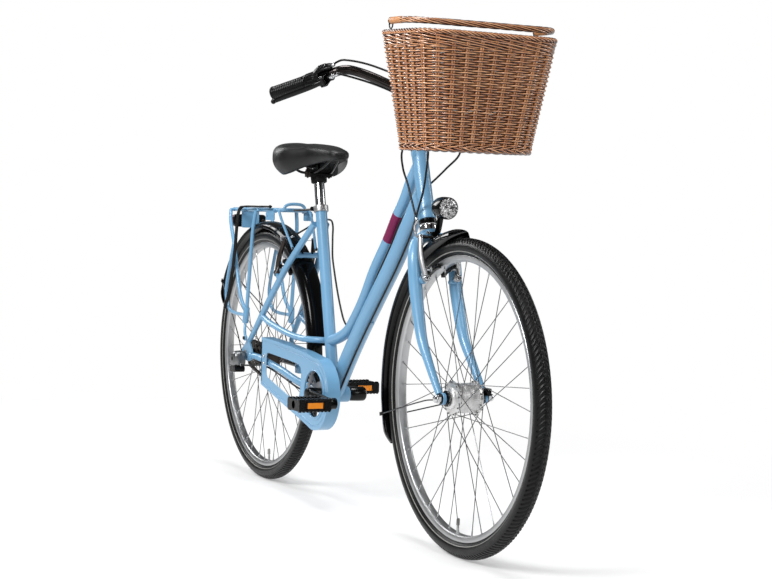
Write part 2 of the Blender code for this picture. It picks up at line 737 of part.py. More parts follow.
def crank_arm(side, reach):
    """Boss and arm of one crank, towards the front or the back."""
    x, z = BRACKET
    boss_end = 0.0795
    inner = BRACKET_HALF + 0.0015
    boss = rod(at(x, side * inner, z), at(x, side * boss_end, z), 0.0185, 14)
    end_x = x + reach * CRANK_LENGTH
    path = route([(x, side * 0.0725, z), (x + reach * 0.06, side * 0.0760, z),
                  (x + reach * 0.14, side * 0.0840, z - 0.001), (end_x, side * 0.0850, z - 0.002)])
    arm = sweep(path, [(0.0075, 0.0150), (0.0070, 0.0125), (0.0065, 0.0110), (0.0070, 0.0125)], 8,
                across=Y_AXIS)
    eye = rod(at(end_x, side * 0.0780, z - 0.002), at(end_x, side * 0.0920, z - 0.002), 0.0140, 12)
    pin_end = side * (PEDAL_OUTER_Y - 0.0060)
    pin = rod(at(end_x, side * 0.0850, z - 0.002), at(end_x, pin_end, z - 0.002), 0.0055, 8)
    return join(boss, arm, eye, pin)


def pedal_shape(side, x, z):
    """A block pedal with two rubber treads, a middle tube and an open slot either side of it."""
    low_y, high_y = sorted((side * PEDAL_INNER_Y, side * PEDAL_OUTER_Y))
    body = block(at(x - 0.0375, low_y, z - 0.0145), at(x + 0.0375, high_y, z + 0.0145), 0.004)
    slot_low, slot_high = sorted((side * (PEDAL_INNER_Y + 0.010), side * (PEDAL_OUTER_Y - 0.010)))
    for middle in (-0.0165, 0.0165):
        slot = block(at(x + middle - 0.0065, slot_low, z - 0.03),
                     at(x + middle + 0.0065, slot_high, z + 0.03))
        body = cut(body, slot)
    bore = rod(at(x, side * (PEDAL_INNER_Y - 0.008), z), at(x, side * (PEDAL_OUTER_Y - 0.0055), z),
               0.0060, 8)
    return cut(body, bore)


def add_drive():
    x, z = BRACKET
    ring = gear_shape(x, z, CHAINRING_TEETH, CHAINRING_RADIUS, 0.0190, CHAIN_Y - 0.001, CHAIN_Y + 0.001)
    for k in range(5):
        angle = 2 * math.pi * (k + 0.5) / 5
        hole_x = x + 0.046 * math.cos(angle)
        hole_z = z + 0.046 * math.sin(angle)
        ring = cut(ring, rod(at(hole_x, CHAIN_Y - 0.01, hole_z), at(hole_x, CHAIN_Y + 0.01, hole_z),
                             0.0165, 6))
    add_solid("chainring", ring, "black_metal", "crank")
    spindle = rod(at(x, -0.040, z), at(x, 0.0700, z), 0.0085, 10)
    add_solid("crank_right", join(crank_arm(-1, 1), spindle), "bright_metal", "crank")
    socket = rod(at(x, 0.0300, z), at(x, 0.0703, z), 0.0088, 10)
    add_solid("crank_left", cut(crank_arm(1, -1), socket), "bright_metal", "crank")
    add_solid("pedal_right", pedal_shape(-1, x + CRANK_LENGTH, z - 0.002), "black_rubber",
              "pedal_right")
    add_solid("pedal_left", pedal_shape(1, x - CRANK_LENGTH, z - 0.002), "black_rubber", "pedal_left")
    sprocket = gear_shape(0.0, AXLE_Z, SPROCKET_TEETH, SPROCKET_RADIUS, 0.0180, CHAIN_Y - 0.001,
                          CHAIN_Y + 0.001)
    add_solid("rear_sprocket", sprocket, "dull_metal", "sprocket")
    add_solid("chain", chain_shape(), "dull_metal")
    box = block(at(-0.021, -0.1070, 0.3000), at(0.0205, -0.0770, 0.3585), 0.005)
    add_solid("shift_box", box, "black_plastic")


def add_chain_guard():
    """A cover over the chain: an outer plate with two openings and a rim turned inwards."""
    outer_y, plate_y, rim_y = -0.0622, -0.0602, -0.0300
    centre = (0.470, 0.2875)
    outline = [(0.109, 0.276), (0.109, 0.404), (0.200, 0.4010), (0.300, 0.3950), (0.400, 0.3870)]
    outline += arc(*centre, 0.0915, 92, -112, 16)
    outline += [(0.310, 0.2310)]
    body = plate(outline, outer_y, rim_y)
    inner = [(0.100, 0.2795), (0.100, 0.4020), (0.200, 0.3990), (0.300, 0.3930), (0.400, 0.3850)]
    inner += arc(*centre, 0.0895, 92, -112, 16)
    inner += [(0.310, 0.2332)]
    body = cut(body, plate(inner, plate_y, rim_y + 0.01))
    slot = [(0.142, 0.3005), (0.142, 0.3670), (0.300, 0.3590), (0.366, 0.3545), (0.380, 0.3480),
            (0.3860, 0.3360), (0.3830, 0.3050), (0.3760, 0.2720), (0.366, 0.2625), (0.310, 0.2625)]
    body = cut(body, plate(slot, outer_y - 0.01, plate_y + 0.005))
    window = rod(at(centre[0], outer_y - 0.01, centre[1]), at(centre[0], plate_y + 0.005, centre[1]),
                 0.058, 24)
    add_solid("chain_guard", cut(body, window), "blue_paint")


# Fork, steering and front fittings

def add_fork():
    """Steerer, crown and curved blades as one piece, with ends, brake bosses and headset rings."""
    half = [(0.9610, 0.0000, 0.6970), (0.9640, 0.0200, 0.6930), (0.9720, 0.0390, 0.6770),
            (0.9860, 0.0500, 0.6440), (0.9990, 0.0510, 0.5800), (1.0220, 0.0520, 0.5100),
            (1.0420, 0.0530, 0.4660), (1.0750, 0.0540, 0.4240), (1.1100, 0.0545, 0.3830),
            (1.1330, 0.0545, 0.3570)]
    radii = [0.0140, 0.0142, 0.0148, 0.0150, 0.0150, 0.0135, 0.0120, 0.0100, 0.0088, 0.0078]
    places = [(x, -y, z) for x, y, z in reversed(half)] + [(x, y, z) for x, y, z in half[1:]]
    sizes = radii[::-1] + radii[1:]
    blades = sweep(route(places), sizes, 10)
    rings = [(0.0, 0.690), (0.0190, 0.690), (0.0200, 0.708), (0.0205, 0.733), (0.0127, 0.734),
             (0.0127, 0.8905), (0.0185, 0.8906), (0.0185, 0.9100), (0.0127, 0.9101),
             (0.0127, 0.9250), (0.0, 0.9250)]
    profile = [(radius, steer_along(z)) for radius, z in rings]
    stem = lathe(profile, at(HEAD_POINT[0], 0, HEAD_POINT[1]), STEER_DIRECTION, 10)
    fork = join(blades, stem)
    for side in (-1, 1):
        end = rod(at(WHEELBASE, side * 0.0470, AXLE_Z), at(WHEELBASE, side * 0.0555, AXLE_Z), 0.0130, 10)
        boss_from, boss_to = front_boss(side)
        boss = rod(boss_from, boss_to, 0.0060, 8)
        hole = rod(at(WHEELBASE, side * 0.04, AXLE_Z), at(WHEELBASE, side * 0.06, AXLE_Z), 0.0054, 10)
        fork = cut(join(fork, end, boss), hole)
    add_solid("fork", fork, "blue_paint", "steering")


def front_boss(side):
    """Ends of a front brake pivot pin, square to the steering axis."""
    ahead = Vector((STEER_DIRECTION.z, 0.0, -STEER_DIRECTION.x))
    root = at(0.9975, side * 0.0400, 0.5960)
    return root, root + ahead * 0.0240


def rear_boss(side):
    """Ends of a rear brake pivot pin, square to the seat stay and pointing back from it."""
    back = Vector((-0.7115, 0.0, 0.7027))
    root = at(0.1880, side * 0.0475, 0.5600)
    return root, root + back * 0.0240


def brake_arm(side, boss, upward, top_y, inward):
    """A brake arm with its pad, on the outer part of a pivot pin."""
    root, tip = boss(side)
    out = (tip - root).normalized()
    pivot = root + out * 0.0250
    eye = rod(root + out * 0.0243, root + out * 0.0330, 0.0085, 10)
    middle = root + out * 0.0290
    top = middle + upward * 0.1000
    top.y = side * top_y
    knee = middle + upward * 0.0450
    knee.y = side * (abs(middle.y) * 0.45 + top_y * 0.55 + 0.002)
    arm = sweep([middle, knee, top], [(0.0040, 0.0070), (0.0040, 0.0062), (0.0036, 0.0050)], 6,
                across=out)
    pad_centre = pad_place(boss, side, upward)
    post = rod(pad_centre + Y_AXIS * side * 0.0020, Vector((pad_centre.x, side * 0.0480,
                                                          pad_centre.z)), 0.0030, 6)
    shoe = sweep([pad_centre - inward * 0.030, pad_centre + inward * 0.030], (0.0045, 0.0055), 6,
                 across=Y_AXIS)
    bolt = rod(root + out * 0.0330 - out * 0.002, root + out * 0.0370, 0.0050, 6)
    return join(eye, arm, post, shoe, bolt), pivot


def pad_place(boss, side, upward):
    root, tip = boss(side)
    out = (tip - root).normalized()
    spot = root + out * 0.0290 + upward * 0.0210
    spot.y = side * (RIM_HALF_WIDTH + 0.0063)
    return spot


def add_brakes():
    axle = {"front": at(WHEELBASE, 0, AXLE_Z), "rear": at(0, 0, AXLE_Z)}
    for word, boss, body in (("front", front_boss, "steering"), ("rear", rear_boss, None)):
        upward = STEER_DIRECTION if word == "front" else Vector((0.36, 0.0, 0.933)).normalized()
        for side, hand in ((-1, "right"), (1, "left")):
            spot = pad_place(boss, side, upward)
            radial = spot - axle[word]
            radial.y = 0.0
            inward = radial.normalized().cross(Y_AXIS)
            shape, pivot = brake_arm(side, boss, upward, 0.0415, inward)
            name = word + "_brake_arm_" + hand
            add_solid(name, shape, "bright_metal", name)


def add_handlebar():
    half = [(0.9050, 0.0000, 1.0200), (0.9050, 0.0350, 1.0220), (0.8980, 0.0800, 1.0380),
            (0.8820, 0.1100, 1.0520), (0.8650, 0.1400, 1.0640), (0.8590, 0.1700, 1.0690),
            (0.8490, 0.1950, 1.0630)]
    line = route([(x, -y, z) for x, y, z in reversed(half)] + half[1:])
    path = [at(*GRIP_END)] + line + [at(GRIP_END[0], -GRIP_END[1], GRIP_END[2])]

    def bar(extra):
        return sweep(path, BAR_RADIUS + extra, 10, across=Z_AXIS)

    add_solid("handlebar", bar(0.0), "grey_bar", "steering")
    quill = rod(on_steering(0.9255), on_steering(1.0060), 0.0127, 12)
    neck = sweep(route([(0.8590, 0, 1.0020), (0.8780, 0, 1.0110), (0.9000, 0, 1.0195)]),
                 [(0.0127, 0.0120), (0.0110, 0.0110), (0.0110, 0.0120)], 8, across=Y_AXIS)
    clamp = rod(at(0.9050, -0.0180, 1.0200), at(0.9050, 0.0180, 1.0200), 0.0180, 14)
    add_solid("stem", cut(join(quill, neck, clamp), bar(GAP)), "black_metal", "steering")
    holder = [wall_place(0.0006, -0.060, 0.990), wall_place(0.0006, -0.060, 1.090),
              wall_place(0.0006, 0.060, 1.090), wall_place(0.0006, 0.060, 0.990)]
    holder = prism(holder, Vector((-0.006, 0.0, 0.0)))
    for side in (-1, 1):
        arm = sweep(route([(0.903, side * 0.045, 1.0250), (0.950, side * 0.045, 1.0400),
                           (1.018, side * 0.045, 1.0450)]), 0.0055, 6)
        collar = rod(at(0.9045, side * 0.040, 1.0235), at(0.9035, side * 0.052, 1.0265), 0.0165, 8)
        holder = join(holder, arm, collar)
    add_solid("basket_holder", cut(holder, bar(GAP)), "black_plastic", "steering")


def wall_place(behind, y, z):
    """A place just behind the basket's sloping rear wall."""
    return at(1.017 + (BASKET_TOP_Z - z) * 0.0808 - behind - 0.0008, y, z)


def add_bar_fittings():
    for side, hand in ((-1, "right"), (1, "left")):
        start, out, lever, hinge = grip_frame(side)
        bore = BAR_BORE
        grip_from = 0.0790 if side < 0 else 0.0400
        profile = [(bore, grip_from), (0.0160, grip_from), (0.0165, grip_from + 0.004),
                   (0.0160, 0.1680), (0.0130, 0.1740), (0.0, 0.1755), (0.0, 0.1710), (bore, 0.1710)]
        add_solid("grip_" + hand, lathe(profile, start, out, BAR_STEPS), "black_rubber", "steering")
        add_bracket(side, hand, start, out, lever, hinge)
        add_lever(side, hand, start, out, lever, hinge)
    start, out, lever, hinge = grip_frame(-1)
    ribs = [(BAR_BORE, 0.0480), (0.0170, 0.0480), (0.0180, 0.0520), (0.0180, 0.0740),
            (0.0170, 0.0780), (BAR_BORE, 0.0780)]
    add_solid("twist_shifter", lathe(ribs, start, out, BAR_STEPS), "black_rubber", "twist_shifter")


def add_bracket(side, hand, start, out, lever, hinge):
    """Clamp, lever ears and cable adjuster, with the gear housing on the right."""
    bore = BAR_BORE
    collar_end = 0.0365 if side < 0 else 0.0340
    middle = start + out * LEVER_AT
    collar = lathe([(bore, 0.010), (0.0160, 0.010), (0.0160, collar_end), (bore, collar_end)],
                   start, out, BAR_STEPS)
    web = sweep([middle + lever * 0.0130, middle + lever * 0.0230], (0.0105, 0.0085), 6, across=out)
    bracket = join(collar, web)
    for reach in (-1, 1):
        ear = sweep([middle + lever * 0.0140 + hinge * reach * 0.0066,
                     middle + lever * (LEVER_OUT + 0.005) + hinge * reach * 0.0066],
                    (0.0070, 0.0015), 6, across=out)
        bracket = join(bracket, ear)
    adjuster = rod(middle + lever * 0.0180, middle + lever * 0.0180 - out * 0.0270, 0.0042, 8)
    bracket = join(bracket, adjuster)
    if side < 0:
        upward = (Z_AXIS - out * Z_AXIS.dot(out)).normalized()
        housing = lathe([(bore, 0.0355), (0.0205, 0.0355), (0.0205, 0.0470), (bore, 0.0470)],
                        start, out, BAR_STEPS)
        window = sweep([start + out * 0.0050 + upward * 0.0185, start + out * 0.0460 + upward * 0.0175],
                       (0.0095, 0.0050), 6, across=out.cross(upward))
        bracket = join(bracket, housing, window)
        bracket = cut(bracket, rod(start - out * 0.03, start + out * 0.08, bore, BAR_STEPS))
    pin = middle + lever * LEVER_OUT
    bracket = cut(bracket, rod(pin - hinge * 0.02, pin + hinge * 0.02, 0.0023, 8))
    add_solid("brake_bracket_" + hand, bracket, "black_plastic", "steering")


def add_lever(side, hand, start, out, lever, hinge):
    pin = start + out * LEVER_AT + lever * LEVER_OUT
    hub = rod(pin - hinge * 0.0047, pin + hinge * 0.0047, 0.0055, 10)
    axle = rod(pin - hinge * 0.0080, pin + hinge * 0.0080, 0.0020, 6)
    path = [pin + out * 0.002, start + out * 0.045 + lever * 0.0370,
            start + out * 0.080 + lever * 0.0400, start + out * 0.120 + lever * 0.0420,
            start + out * 0.150 + lever * 0.0450]
    blade = sweep(path, [(0.0040, 0.0035), (0.0055, 0.0030), (0.0060, 0.0028), (0.0060, 0.0028),
                         (0.0050, 0.0030)], 6, across=hinge)
    ball = ball_shape(start + out * 0.1550 + lever * 0.0455, 0.0065)
    name = "brake_lever_" + hand
    add_solid(name, join(hub, axle, blade, ball), "black_metal", name)


def ball_shape(centre, radius):
    profile = [(radius * math.sin(math.pi * k / 5), -radius * math.cos(math.pi * k / 5))
               for k in range(6)]
    return lathe(profile, centre, Z_AXIS, 8)


def basket_ring(z, grow, level=False):
    """The basket's outline at a height, grown or shrunk evenly. Its front hangs a little lower."""
    share = (z - BASKET_BOTTOM_Z) / (BASKET_TOP_Z - BASKET_BOTTOM_Z)
    rear = 1.038 - 0.021 * share - grow
    front = 1.214 + 0.033 * share + grow
    half = 0.132 + 0.040 * share + grow
    droop = 0.0 if level else 0.006 + 0.008 * share
    ring = []
    for x_side, y_side, radius in ((-1, -1, 0.040), (1, -1, 0.070), (1, 1, 0.070), (-1, 1, 0.040)):
        radius = radius + grow
        centre_x = (rear + radius) if x_side < 0 else (front - radius)
        centre_y = y_side * (half - radius)
        start = {(-1, -1): 180, (1, -1): 270, (1, 1): 0, (-1, 1): 90}[(x_side, y_side)]
        for k in range(5):
            angle = math.radians(start + 22.5 * k)
            x = centre_x + radius * math.cos(angle)
            lower = droop * (x - rear) / (front - rear)
            ring.append(at(x, centre_y + radius * math.sin(angle), z - lower))
    return ring


def add_basket():
    low, top = BASKET_BOTTOM_Z, BASKET_TOP_Z
    stations = [(low, 0.0), (low + 0.004, 0.004), (low + 0.014, 0.004), (low + 0.020, 0.0),
                (top - 0.040, 0.0), (top - 0.037, 0.004), (top - 0.018, 0.004),
                (top - 0.013, 0.0075), (top - 0.001, 0.0065), (top, -BASKET_WALL)]
    rings = [basket_ring(z, grow) for z, grow in stations]
    rings.append(basket_ring(low + 0.012, -BASKET_WALL, level=True))
    add_solid("basket", skin(rings), "willow", "steering")
    half = [(1.1000, 0.1790, 1.1565), (1.1400, 0.1790, 1.1545), (1.1850, 0.1680, 1.1515),
            (1.2120, 0.1350, 1.1490), (1.2230, 0.0700, 1.1475)]
    places = [(x, -y, z) for x, y, z in half] + [(1.2240, 0.0, 1.1475)]
    places += [(x, y, z) for x, y, z in reversed(half)]
    handle = sweep(route(places), 0.0085, 8, across=Z_AXIS)
    add_solid("basket_handle", handle, "willow", "basket_handle")


def add_headlamp():
    """Round lamp ahead of the head tube, with its bracket from the fork crown."""
    centre = at(0.9920, 0.0, 0.7640)
    shell = [(0.0, 0.0), (0.0120, 0.001), (0.0200, 0.010), (0.0245, 0.028), (0.0250, 0.052),
             (0.0225, 0.055), (0.0, 0.058)]
    lamp = lathe(shell, centre, Vector((1.0, 0.0, -0.06)), 16)
    bracket = sweep(route([(0.9890, 0, 0.7000), (1.0010, 0, 0.7120), (1.0120, 0, 0.7450)]),
                    (0.0080, 0.0022), 6, across=Y_AXIS)
    foot = block(at(0.9825, -0.010, 0.6900), at(0.9900, 0.010, 0.7080))
    add_solid("headlamp", join(lamp, bracket, foot), "black_plastic", "steering")


# Mudguards

def mudguard_shape(axle_x, start, end, count):
    """A curved cap over a tyre, between two angles, with turned-down edges."""
    section = []
    outer = [(-1.0, -0.0180), (-0.90, -0.0080), (-0.50, -0.0015), (0.50, -0.0015), (0.90, -0.0080),
             (1.0, -0.0180)]
    for share, drop in outer:
        section.append((share * GUARD_HALF_WIDTH, GUARD_RADIUS + drop))
    for share, drop in reversed(outer):
        y = share * (GUARD_HALF_WIDTH - GUARD_SKIN)
        section.append((y, GUARD_RADIUS + drop - (GUARD_SKIN if abs(share) < 1 else 0.0)))
    rings = []
    for k in range(count + 1):
        angle = math.radians(start + (end - start) * k / count)
        narrow = 0.45 if k == 0 else 1.0
        rings.append([wheel_point(axle_x, radius, angle, y * narrow) for y, radius in section])
    return skin(rings)


def add_mudguards():
    rear = mudguard_shape(0.0, 161, 8, 15)
    front = mudguard_shape(WHEELBASE, 203, 97, 9)
    for side in (-1, 1):
        edge_y = side * (GUARD_HALF_WIDTH - 0.0008)
        rear_edge = wheel_point(0.0, GUARD_RADIUS - 0.014, math.radians(148), edge_y)
        stay = sweep([rear_edge, at(-0.060, side * 0.070, 0.405), at(-0.0230, side * 0.0702, 0.3520)],
                     0.0016, 6)
        rear = join(rear, stay)
        front_edge = wheel_point(WHEELBASE, GUARD_RADIUS - 0.014, math.radians(192), edge_y)
        stay = sweep([front_edge, at(1.060, side * 0.0520, 0.3360), at(1.1280, side * 0.0578, 0.3450)],
                     0.0016, 6)
        front = join(front, stay)
    add_solid("rear_mudguard", rear, "black_plastic")
    add_solid("front_mudguard", front, "black_plastic", "steering")


# Carrier and lights

def carrier_side(side):
    """Tubes, sleeve and lower rod on one side of the carrier."""
    def places(points):
        return [at(x, side * y, z) for x, y, z in points]

    rear_tube = sweep(places([(-0.160, 0.0600, 0.7480), (-0.148, 0.0640, 0.7150),
                              (-0.110, 0.0660, 0.6480), (-0.054, 0.0660, 0.5100),
                              (-0.006, 0.0664, 0.4650)]), 0.0050, 6, across=Y_AXIS)
    loop = sweep(places([(-0.113, 0.0660, 0.6550), (-0.138, 0.0660, 0.6000),
                         (-0.166, 0.0660, 0.5250), (-0.160, 0.0660, 0.4880),
                         (-0.128, 0.0660, 0.4620), (-0.004, 0.0672, 0.4560)]), 0.0048, 6,
                 across=Y_AXIS)
    strut = sweep(places([(0.036, 0.0600, 0.7480), (0.030, 0.0650, 0.7000), (0.0, 0.0670, 0.4700)]),
                  0.0052, 6, across=Y_AXIS)
    sleeve = rod(*places([(0.001, 0.0670, 0.4780), (-0.003, 0.0690, 0.4350)]), 0.0085, 6)
    lower = sweep(places([(-0.002, 0.0690, 0.4400), (0.006, 0.0735, 0.4150), (0.018, 0.0760, 0.3960)]),
                  0.0038, 6, across=Y_AXIS)
    lug = rod(*places([(0.018, 0.0722, 0.3950), (0.018, 0.0792, 0.3950)]), 0.0075, 6)
    leg = sweep(places([(0.165, 0.0450, 0.7480), (0.185, 0.0440, 0.7220), (0.240, 0.0330, 0.6480)]),
                0.0036, 6, across=Y_AXIS)
    low_y, high_y = sorted((side * 0.0545, side * 0.0570))
    cheek = block(at(0.100, low_y, 0.7220), at(0.160, high_y, 0.7436))
    low_y, high_y = sorted((side * 0.0545, side * 0.0560))
    neck = block(at(0.104, low_y, 0.7420), at(0.156, high_y, 0.7480))
    return [rear_tube, loop, strut, sleeve, lower, lug, leg, join(neck, cheek)]


def add_carrier():
    """Flat carrier over the rear wheel, with its side tubes, legs, front arch and lamp plate."""
    corners = []
    for x, y, start in ((-0.185, 0.045, 90), (-0.185, -0.045, 180), (0.150, -0.045, 270),
                        (0.150, 0.045, 0)):
        for k in range(3):
            angle = math.radians(start + 45 * k)
            corners.append(at(x + 0.015 * math.cos(angle), y + 0.015 * math.sin(angle), 0.750))
    carrier = sweep(corners, 0.0055, 6, across=Z_AXIS, closed=True)
    for x in (-0.158, -0.060, 0.050):
        carrier = join(carrier, rod(at(x, -0.0595, 0.7495), at(x, 0.0595, 0.7495), 0.0042, 6))
    arch = [(0.165, -0.0300, 0.7500), (0.166, -0.0280, 0.7590), (0.167, -0.0160, 0.7655),
            (0.167, 0.0160, 0.7655), (0.166, 0.0280, 0.7590), (0.165, 0.0300, 0.7500)]
    carrier = join(carrier, sweep(route(arch), 0.0042, 6, across=X_AXIS))
    carrier = join(carrier, rod(at(0.163, 0.0, 0.7500), at(0.3040, 0.0, 0.7540), 0.0030, 6))
    carrier = join(carrier, block(at(-0.1620, -0.0260, 0.6980), at(-0.1585, 0.0260, 0.7480)))
    for side in (-1, 1):
        carrier = join(carrier, *carrier_side(side))
    add_solid("carrier", carrier, "blue_paint")
    lamp = block(at(-0.1900, -0.0480, 0.7000), at(-0.1624, 0.0480, 0.7360), 0.005)
    add_solid("tail_lamp", lamp, "red_lens")
    strap = [(0.135, -0.0590, 0.7618), (0.050, -0.0595, 0.7618), (-0.035, -0.0610, 0.7615),
             (-0.052, -0.0690, 0.7580), (-0.058, -0.0745, 0.7450), (-0.062, -0.0770, 0.7200),
             (-0.075, -0.0785, 0.6200), (-0.105, -0.0785, 0.5300), (-0.140, -0.0785, 0.4700)]
    add_solid("elastic_strap", sweep(route(strap), 0.0052, 8), "black_rubber")


# Kickstand

def stand_axis():
    return at(0.090, 0.0790, 0.3140), Vector((0.0, 0.9798, 0.2)).normalized()


def add_kickstand():
    """A leg folded back beside the wheel, on a pin through the lug of the left chain stay."""
    pivot, axis = stand_axis()
    eye = rod(pivot - axis * 0.0015, pivot + axis * 0.0130, 0.0110, 12)
    pin = rod(pivot - axis * 0.0220, pivot + axis * 0.0050, 0.0040, 8)
    leg = sweep(route([(0.090, 0.0860, 0.3155), (0.055, 0.0850, 0.3170), (-0.060, 0.0830, 0.3200),
                       (-0.185, 0.0810, 0.3240)]), [0.0070, 0.0075, 0.0075, 0.0070], 10, across=Z_AXIS)
    foot = sweep(route([(-0.178, 0.0811, 0.3238), (-0.206, 0.0807, 0.3246)]), (0.0105, 0.0090), 8,
                 across=Y_AXIS)
    add_solid("kickstand", join(eye, pin, leg, foot), "black_metal", "kickstand")


# Cables

def tube_underside(points, radius, first, last, shift_y):
    """Points just under a tube of the frame, from one of its points to another."""
    result = []
    for k in range(first, last):
        along = (points[k + 1] - points[k - 1]).normalized()
        below = Vector((-along.z, 0.0, along.x))
        if below.z > 0:
            below = -below
        reach = radius + CABLE_RADIUS + 0.0030
        drop = math.sqrt(max(0.0, reach * reach - shift_y * shift_y))
        result.append(points[k] + below * drop + Y_AXIS * shift_y)
    return result


def add_cables():
    right_start, right_out, right_lever, hinge = grip_frame(-1)
    left_start, left_out, left_lever, hinge = grip_frame(1)
    upward = (Z_AXIS - right_out * Z_AXIS.dot(right_out)).normalized()
    middle = right_start + right_out * LEVER_AT + right_lever * 0.0180

    rear = [middle - right_out * 0.0280, middle - right_out * 0.0400]
    rear += route([(0.905, -0.100, 1.030), (0.948, -0.020, 0.985), (0.975, 0.055, 0.925),
                   (0.978, 0.062, 0.887), (0.950, 0.044, 0.853), (0.908, 0.031, 0.822),
                   (0.872, 0.018, 0.796)])
    rear += tube_underside(upper_tube_points(), UPPER_RADIUS, 3, 8, 0.0)
    rear += route([(0.560, 0.012, 0.4520), (0.500, 0.0230, 0.4480), (0.440, 0.0260, 0.4800),
                   (0.382, 0.0205, 0.6200), (0.368, 0.0240, 0.6800), (0.352, 0.0310, 0.7120),
                   (0.328, 0.0340, 0.7270), (0.290, 0.0200, 0.7240), (0.250, -0.0050, 0.7000),
                   (0.2150, -0.0280, 0.6780)])
    add_cable("rear_brake_cable", rear, "black_rubber")

    shift = [right_start + right_out * 0.0035 + upward * 0.0190,
             right_start - right_out * 0.0300 + upward * 0.0235]
    shift += route([(0.900, -0.1150, 1.0760), (0.950, -0.0550, 1.0330), (0.982, -0.0300, 0.9600),
                    (0.988, -0.0240, 0.8900), (0.980, -0.0230, 0.8450), (0.972, -0.0250, 0.8010),
                    (0.949, -0.0260, 0.7550)])
    shift += tube_underside(down_tube_points(), DOWN_RADIUS, 2, 7, -0.0060)
    shift += route([(0.500, -0.0200, 0.2640), (0.455, -0.0245, 0.2590),
                    (0.385, -0.0285, 0.2745), (0.345, -0.0330, 0.2805), (0.300, -0.0400, 0.2885),
                    (0.226, -0.0465, 0.3065), (0.100, -0.0520, 0.3260),
                    (0.060, -0.0640, 0.3230), (0.042, -0.0860, 0.3215), (0.0310, -0.0910, 0.3215),
                    (0.0213, -0.0920, 0.3215)])
    add_cable("shift_cable", shift, "black_rubber")

    middle = left_start + left_out * LEVER_AT + left_lever * 0.0180
    front = [middle - left_out * 0.0280, middle - left_out * 0.0400]
    front += route([(0.915, 0.080, 1.0060), (0.938, 0.020, 0.9700), (0.930, -0.0320, 0.9330),
                    (0.914, -0.0520, 0.8900), (0.912, -0.0480, 0.8500), (0.926, -0.0420, 0.8150),
                    (0.951, -0.0400, 0.7670), (0.972, -0.0390, 0.7300)])
    add_cable("front_brake_cable", front, "black_rubber", "steering")


# Whole bike

def add_bodies():
    add_body("steering", on_steering(HEAD_POINT[1]))
    add_body("front_wheel", at(WHEELBASE, 0, AXLE_Z), "steering")
    add_body("rear_wheel", at(0, 0, AXLE_Z))
    add_body("sprocket", at(0, CHAIN_Y, AXLE_Z))
    add_body("crank", at(BRACKET[0], 0, BRACKET[1]))
    add_body("pedal_right", at(BRACKET[0] + CRANK_LENGTH, -0.156, BRACKET[1] - 0.002), "crank")
    add_body("pedal_left", at(BRACKET[0] - CRANK_LENGTH, 0.156, BRACKET[1] - 0.002), "crank")
    add_body("kickstand", stand_axis()[0])
    for side, hand in ((-1, "right"), (1, "left")):
        start, out, lever, hinge = grip_frame(side)
        add_body("brake_lever_" + hand, start + out * LEVER_AT + lever * LEVER_OUT, "steering")
        add_body("front_brake_arm_" + hand, front_boss(side)[1], "steering")
        add_body("rear_brake_arm_" + hand, rear_boss(side)[1])
    add_body("twist_shifter", at(*GRIP_START), "steering")
    add_body("basket_handle", at(1.100, 0.0, 1.1565), "steering")


def main():
    for thing in list(bpy.data.objects):
        bpy.data.objects.remove(thing)
    add_materials()
    add_bodies()
    add_frame()
    add_saddle()
    add_wheels()
    add_drive()
    add_chain_guard()
    add_fork()
    add_brakes()
    add_handlebar()
    add_bar_fittings()
    add_basket()
    add_headlamp()
    add_mudguards()
    add_carrier()
    add_kickstand()
    add_cables()


main()
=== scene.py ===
"""Looks of the city bicycle: every visible piece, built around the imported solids."""

import random
from math import atan2, copysign, cos, degrees, exp, pi, radians, sin, sqrt

import bmesh
import bpy
from mathutils import Matrix, Vector
from mathutils.geometry import tessellate_polygon


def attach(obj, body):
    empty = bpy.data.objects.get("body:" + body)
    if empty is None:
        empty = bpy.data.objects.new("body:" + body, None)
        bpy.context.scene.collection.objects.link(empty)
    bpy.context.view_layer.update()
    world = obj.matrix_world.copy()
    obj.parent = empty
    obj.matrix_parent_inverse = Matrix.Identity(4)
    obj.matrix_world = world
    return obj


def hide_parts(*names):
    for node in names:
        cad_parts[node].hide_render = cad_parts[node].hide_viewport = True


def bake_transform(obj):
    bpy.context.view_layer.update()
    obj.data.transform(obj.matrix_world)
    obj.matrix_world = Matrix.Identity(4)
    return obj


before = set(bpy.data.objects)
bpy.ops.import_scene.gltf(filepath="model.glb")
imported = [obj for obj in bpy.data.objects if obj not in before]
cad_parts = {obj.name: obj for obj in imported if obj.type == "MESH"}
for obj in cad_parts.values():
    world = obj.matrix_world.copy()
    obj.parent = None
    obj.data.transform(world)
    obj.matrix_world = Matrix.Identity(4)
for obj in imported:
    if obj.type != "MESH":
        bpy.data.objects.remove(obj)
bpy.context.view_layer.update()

REAR_AXLE_X = -0.571  # in metres, like the camera and the lights. Shapes are in millimetres.
WHEELBASE = 1142
AXLE_Z = 349
METRES = 0.001
X = Vector((1.0, 0.0, 0.0))
Y = Vector((0.0, 1.0, 0.0))
Z = Vector((0.0, 0.0, 1.0))
STEER = Vector((-0.325, 0.0, 1.0)).normalized()
SIDES = ((-1, "right"), (1, "left"))
M = {}


# Places and curves


def mm(x, y, z):
    """A place ahead of the rear axle, in millimetres as in all shapes: piece() turns them into metres."""
    return Vector((x + REAR_AXLE_X / METRES, y, z))


def vec(x, y, z):
    return Vector((x, y, z))


def route(points):
    return [mm(*point) for point in points]


def moved(point, y):
    """The same point at another distance from the middle."""
    return Vector((point.x, y, point.z))


def mirrored(points):
    """Points in reverse order with the sign of their second value changed."""
    return [(p[0], -p[1], *p[2:]) for p in reversed(points)]


